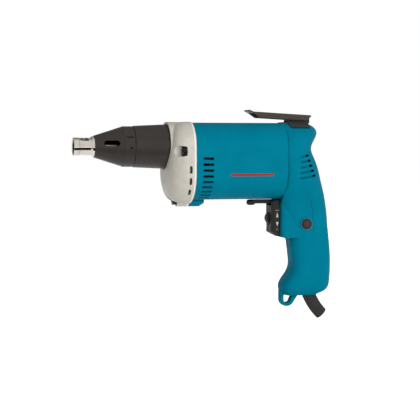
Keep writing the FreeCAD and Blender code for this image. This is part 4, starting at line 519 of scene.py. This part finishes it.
WELD_DISTANCE = 0.001 * MM


def parts_of(node):
    """The lowest and highest corners of each separate solid in a node, in millimetres."""
    shape = bmesh.new()
    shape.from_mesh(nodes[node].data)
    bmesh.ops.remove_doubles(shape, verts=shape.verts, dist=WELD_DISTANCE)
    left = set(shape.verts)
    boxes = []
    while left:
        group = set()
        edge = [left.pop()]
        while edge:
            vert = edge.pop()
            group.add(vert)
            near = {e.other_vert(vert) for e in vert.link_edges} & left
            left -= near
            edge.extend(near)
        boxes.append([[pick(v.co[axis] for v in group) / MM for axis in range(3)] for pick in (min, max)])
    shape.free()
    return sorted(boxes)


# Things laid on the sides: the near side is the left one
NEAR_SIDE = -1.0
FAR_SIDE = 1.0
NEAR_WAY = (0.0, NEAR_SIDE, 0.0)
FAR_WAY = (0.0, FAR_SIDE, 0.0)
FAR_OFF = 100.0
SINK = 0.1


def skin_of(node):
    """The surface of a node, to lay things on."""
    mesh = nodes[node].data
    return BVHTree.FromPolygons([v.co for v in mesh.vertices], [p.vertices for p in mesh.polygons])


def laid(skin, side, x, z, rise):
    """The point of a surface seen from one side at x and z in millimetres, lifted by a rise."""
    start = Vector((x, side * FAR_OFF, z)) * MM
    place = skin.ray_cast(start, Vector((0.0, -side, 0.0)))[0]
    return place + Vector((0.0, side * rise * MM, 0.0))


def strip(shape, skin, side, spine, profile):
    """Adds a thin closed strip laid on a surface: points (x, z, share of its full width) along it, and a
    profile of (offset, rise) across it."""
    rows = []
    for n, (x, z, share) in enumerate(spine):
        ahead = spine[min(n + 1, len(spine) - 1)]
        behind = spine[max(n - 1, 0)]
        along = Vector((ahead[0] - behind[0], ahead[1] - behind[1])).normalized()
        spots = []
        for offset, rise in profile:
            spots.append((x - along.y * offset * share, z + along.x * offset * share, rise * share))
        points = [laid(skin, side, *place) for place in spots]
        points += [laid(skin, side, u, v, -SINK) for u, v, rise in reversed(spots)]
        rows.append([shape.verts.new(point) for point in points])
    for row, after in zip(rows, rows[1:]):
        walled(shape, row, after)
    shape.faces.new(rows[0])
    shape.faces.new(rows[-1][::-1])


# Trigger marks: two direction triangles, a bar and a dot printed on the near side
PRINT_RISE = 0.08
MARK_X = 207.7
TRIANGLES = (
    ((-1.3, -72.1), (1.3, -72.1), (0.0, -67.2)),
    ((-1.3, -77.0), (0.0, -81.7), (1.3, -77.0)),
)
TRIGGER_BAR = ((-2.1, -65.6), (2.1, -65.6), (2.1, -64.6), (-2.1, -64.6))
DOT_PROFILE = ((1.2, 0.0), (1.2, PRINT_RISE), (0.4, PRINT_RISE))
DOT_Z = -84.5
trigger_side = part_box("trigger")[0].y / MM
print_place = facing((MARK_X, trigger_side, 0.0), NEAR_WAY)
shape = bmesh.new()
for outline in TRIANGLES:
    stamp(shape, outline, PRINT_RISE, print_place)
piece("trigger_triangles", shape, "print_white", "trigger")
shape = bmesh.new()
stamp(shape, TRIGGER_BAR, PRINT_RISE, print_place)
piece("trigger_bar", shape, "print_pink", "trigger")
shape = bmesh.new()
turn(shape, DOT_PROFILE, facing((MARK_X, trigger_side, DOT_Z), NEAR_WAY))
piece("trigger_dot", shape, "dot_brown", "trigger")

# Lock button: a domed cap with a brown centre, and a rim round its hole in a lighter teal, a painted
# highlight, as radius shares and heights
CAP_SHARES = ((0.96, 0.0), (0.94, 0.35), (0.86, 0.6), (0.6, 0.85), (0.45, 0.9))
CENTRE_SHARES = ((0.5, 0.8), (0.48, 0.98), (0.34, 1.08), (0.1, 1.1))
RIM_SHARES = ((1.12, -0.1), (1.12, 0.2), (1.17, 0.3), (1.27, 0.3), (1.33, 0.2), (1.33, -0.1))
RIM_MIDDLE_SHARE = 1.2
left_skin = skin_of("handle_left")
low, high = (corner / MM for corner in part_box("lock_button"))
button_radius = (high.x - low.x) / 2
button_x = (low.x + high.x) / 2
button_z = (low.z + high.z) / 2
rim_x = button_x + RIM_MIDDLE_SHARE * button_radius
rim_face = laid(left_skin, NEAR_SIDE, rim_x, button_z, 0.0).y / MM
for name, shares, face, finish, body, slot, ring in (
    ("lock_button_cap", CAP_SHARES, low.y, "black_plastic", "button", "black_plastic", False),
    ("lock_button_centre", CENTRE_SHARES, low.y, "cap_brown", "button", "black_plastic", False),
    ("lock_button_rim", RIM_SHARES, rim_face, "rim_highlight_teal", "housing", "teal_plastic", True),
):
    shape = bmesh.new()
    profile = [(button_radius * share, height) for share, height in shares]
    turn(shape, profile, facing((button_x, face, button_z), NEAR_WAY), ring)
    piece(name, shape, finish, body)

# A plain slim bar printed on the near side of the motor housing
BAR_FROM = 151.0
BAR_TO = 196.0
BAR_Z = -28.0
BAR_HALF = 1.15
BAR_STEPS = 60
BAR_END_SHARE = 0.3
BAR_ACROSS_SHARES = (-1.0, -0.5, 0.0, 0.5, 1.0)
spine = []
for n in range(BAR_STEPS + 1):
    x = BAR_FROM + (BAR_TO - BAR_FROM) * n / BAR_STEPS
    end = max(0.0, 1.0 - min(x - BAR_FROM, BAR_TO - x) / BAR_HALF)
    spine.append((x, BAR_Z, max(BAR_END_SHARE, math.sqrt(1.0 - end ** 2))))
profile = [(share * BAR_HALF, PRINT_RISE) for share in BAR_ACROSS_SHARES]
shape = bmesh.new()
strip(shape, skin_of("motor_housing"), NEAR_SIDE, spine, profile)
piece("side_bar", shape, "print_red", "housing")

# Crease where the flat of each handle side meets its round back: a low bead in a darker teal, painted shade
# along the crease
CREASE = (
    (234.0, -48.1), (238.6, -54.3), (242.0, -61.6), (243.6, -69.0), (244.5, -77.0), (245.2, -86.0),
    (245.6, -95.0),
)
CREASE_HALF = 0.55
CREASE_RISE = 0.22
CREASE_STEPS = 8
CREASE_END_SHARE = 0.2


def smoothed(points, steps):
    """Points on a smooth line through a few points."""
    padded = (points[0],) + tuple(points) + (points[-1],)
    line = []
    for n in range(len(points) - 1):
        a, b, c, d = (Vector(point) for point in padded[n:n + 4])
        slope = (c - a) / 2
        bend = (2 * a - 5 * b + 4 * c - d) / 2
        curl = (3 * b - a - 3 * c + d) / 2
        for k in range(steps):
            t = k / steps
            line.append(b + slope * t + bend * t ** 2 + curl * t ** 3)
    return line + [Vector(points[-1])]


line = smoothed(CREASE, CREASE_STEPS)
spine = []
for n, point in enumerate(line):
    swell = math.sin(math.pi * n / (len(line) - 1))
    spine.append((point.x, point.y, max(CREASE_END_SHARE, math.sqrt(swell))))
profile = (
    (-CREASE_HALF, 0.0), (-CREASE_HALF / 2, CREASE_RISE), (CREASE_HALF / 2, CREASE_RISE), (CREASE_HALF, 0.0),
)
for name, skin, side in (
    ("crease_left", left_skin, NEAR_SIDE),
    ("crease_right", skin_of("handle_right"), FAR_SIDE),
):
    shape = bmesh.new()
    strip(shape, skin, side, spine, profile)
    piece(name, shape, "crease_shade_teal", "housing")

# Depth marks on the locator's band, each at a place along the tool and an angle: a notch line and a dot, in
# black; the black of the notch line is painted shade in the notch
BAND_RADIUS = 20.0
NOTCH = (53.8, 27.4)
NOTCH_HALF_LENGTH = 3.2
NOTCH_HALF_HEIGHT = 0.65
NOTCH_RISE = 0.26
NOTCH_OUTLINE = (
    (-NOTCH_HALF_LENGTH, -NOTCH_HALF_HEIGHT), (NOTCH_HALF_LENGTH, -NOTCH_HALF_HEIGHT),
    (NOTCH_HALF_LENGTH, NOTCH_HALF_HEIGHT), (-NOTCH_HALF_LENGTH, NOTCH_HALF_HEIGHT),
)
BAND_DOT = (55.0, -3.9)
BAND_DOT_PROFILE = ((1.1, 0.0), (1.1, NOTCH_RISE), (0.3, NOTCH_RISE))


def on_band(x, degrees):
    """A place on the locator's band, looking out, at an angle above the near side."""
    angle = math.radians(degrees)
    out = Vector((0.0, -math.cos(angle), math.sin(angle)))
    return facing(Vector((x, 0.0, 0.0)) + BAND_RADIUS * out, out)


shape = bmesh.new()
stamp(shape, NOTCH_OUTLINE, NOTCH_RISE, on_band(*NOTCH))
turn(shape, BAND_DOT_PROFILE, on_band(*BAND_DOT))
piece("depth_marks", shape, "black_mark_and_shade", "locator")

# Cross recesses in the heads of the handle screws, drawn as flat black crosses of painted shade: one arm,
# turned by quarters
ARM = 1.8
ARM_HALF = 0.45
ARM_POINTS = ((ARM, -ARM_HALF), (ARM, ARM_HALF), (ARM_HALF, ARM_HALF))
QUARTER_TURNS = ((1, 0), (0, 1), (-1, 0), (0, -1))
CROSS = [(x * c - y * s, x * s + y * c) for c, s in QUARTER_TURNS for x, y in ARM_POINTS]
RECESS_RISE = 0.03
shape = bmesh.new()
for low, high in parts_of("handle_screws"):
    head_place = ((low[0] + high[0]) / 2, high[1], (low[2] + high[2]) / 2)
    stamp(shape, CROSS, RECESS_RISE, facing(head_place, FAR_WAY))
piece("handle_screw_recess_shade", shape, "black_mark_and_shade", "housing")

# Coil springs: each one's mesh copied into a piece of its own that rides on the same body, and the node
# hidden; the joint listed for each is not used
SPRINGS = {
    "clutch_spring": "spindle_push",
    "trigger_spring": "trigger_pull",
    "lock_button_spring": "lock_button_press",
}
for node, joint in SPRINGS.items():
    low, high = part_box(node)
    shape = bmesh.new()
    shape.from_mesh(nodes[node].data)
    coil = piece(node + "_coil", shape, "tool_steel", nodes[node]["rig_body"])
    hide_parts(node)
    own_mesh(coil)

# Stage: a pale floor, white to the camera and in reflections apart from the shadow, and a dark card on it
FLOOR_HALF = 4.0
FLOOR_DROP = 0.4 * MM
FLOOR_GLOW = 0.8
FLOOR_COLOUR = grey(0.9)
STAGE_ROUGHNESS = 0.9
CARD_NEAR = -0.75
CARD_FAR = -0.17
CARD_HALF_LENGTH = 0.9
CARD_LIFT = 1.0 * MM
CARD_COLOUR = srgb(40, 38, 36)
CARD_HIDDEN_FROM = ("camera", "diffuse", "shadow", "transmission", "volume_scatter")
WHITE = grey(1.0)
VIEW_RAYS = ("Is Camera Ray", "Is Glossy Ray", "Is Transmission Ray")


def viewed(tree, rays):
    """1 for the kinds of ray named, 0 for others."""
    path = add(tree, "ShaderNodeLightPath")
    seen = path.outputs[rays[0]]
    for ray in rays[1:]:
        seen = maths(tree, "MAXIMUM", seen, path.outputs[ray])
    return seen


def flat(name, low, high, z, material):
    """A flat rectangle of the stage at a height, between two corners in metres."""
    corners = [(low[0], low[1], z), (high[0], low[1], z), (high[0], high[1], z), (low[0], high[1], z)]
    mesh = bpy.data.meshes.new(name)
    mesh.from_pydata(corners, [], [tuple(range(len(corners)))])
    mesh.materials.append(material)
    made = placed(name, mesh)
    return made


floor_z = cad_box[0].z - FLOOR_DROP
floor_material, tree, shader = begin(
    "floor", Roughness=STAGE_ROUGHNESS, Specular_IOR_Level=0.0, Base_Color=FLOOR_COLOUR, Emission_Color=WHITE)
glow = maths(tree, "MULTIPLY", viewed(tree, VIEW_RAYS), FLOOR_GLOW)
tree.links.new(glow, shader.inputs["Emission Strength"])
flat(
    "floor", (LOOK_AT.x - FLOOR_HALF, -FLOOR_HALF), (LOOK_AT.x + FLOOR_HALF, FLOOR_HALF), floor_z,
    floor_material)

# The card is seen only in reflections, and draws a dark line along bright metal
card_material, tree, shader = begin(
    "dark_card", Roughness=STAGE_ROUGHNESS, Specular_IOR_Level=0.0, Base_Color=CARD_COLOUR)
card = flat(
    "dark_card", (-CARD_HALF_LENGTH, CARD_NEAR), (CARD_HALF_LENGTH, CARD_FAR), floor_z + CARD_LIFT,
    card_material)
for kind in CARD_HIDDEN_FROM:
    setattr(card, "visible_" + kind, False)

# Light from all round: plain white to the camera, dimmer at the back in reflections
world = bpy.data.worlds.new("studio")
bpy.context.scene.world = world
world.use_nodes = True
tree = world.node_tree
ray_way = add(tree, "ShaderNodeTexCoord").outputs["Generated"]
heading = add(tree, "ShaderNodeSeparateXYZ", {0: ray_way}).outputs
overhead = ranged(tree, heading["Z"], OVERHEAD_FROM, OVERHEAD_TO, AMBIENT, AMBIENT * OVERHEAD_SHARE)
lit = maths(tree, "MULTIPLY", overhead, ranged(tree, heading["X"], LEFT_FROM, LEFT_TO, LEFT_SHARE, 1.0))
mirrored = ranged(tree, heading["Y"], BACK_FROM, BACK_TO, 1.0, BACK_SHARE)
mirror_rays = viewed(tree, VIEW_RAYS[1:])
other_rays = maths(tree, "SUBTRACT", 1.0, mirror_rays)
around = maths(
    tree, "ADD",
    maths(tree, "MULTIPLY", mirrored, mirror_rays),
    maths(tree, "MULTIPLY", lit, other_rays),
)
strength = maths(tree, "MAXIMUM", around, viewed(tree, VIEW_RAYS[:1]))
tree.links.new(strength, tree.nodes["Background"].inputs["Strength"])
tree.nodes["Background"].inputs["Color"].default_value = WHITE


# Lamps and camera
def aimed(made, place, way):
    """Puts a lamp or a camera at a place, looking along a way."""
    made.location = place
    made.rotation_mode = "QUATERNION"
    made.rotation_quaternion = way.to_track_quat("-Z", "Y")


for name, (place, size, power) in LAMPS.items():
    lamp_data = bpy.data.lights.new(name, "AREA")
    lamp_data.shape = "RECTANGLE"
    lamp_data.size, lamp_data.size_y = size
    lamp_data.energy = power
    lamp = placed(name, lamp_data)
    lamp.visible_glossy = False
    aimed(lamp, place, LOOK_AT - Vector(place))

camera_data = bpy.data.cameras.new("camera")
camera_data.lens = FOCAL_LENGTH
camera_data.sensor_width = SENSOR_WIDTH
camera_data.shift_x = -FRAME_SHIFT
camera_data.shift_y = FRAME_SHIFT
camera = placed("camera", camera_data)
level = math.cos(CAMERA_RISE)
away = Vector((math.sin(CAMERA_TURN) * level, -math.cos(CAMERA_TURN) * level, math.sin(CAMERA_RISE)))
aimed(camera, LOOK_AT + CAMERA_DISTANCE * away, -away)
bpy.context.scene.camera = camera
bpy.context.scene.view_settings.view_transform = "Standard"
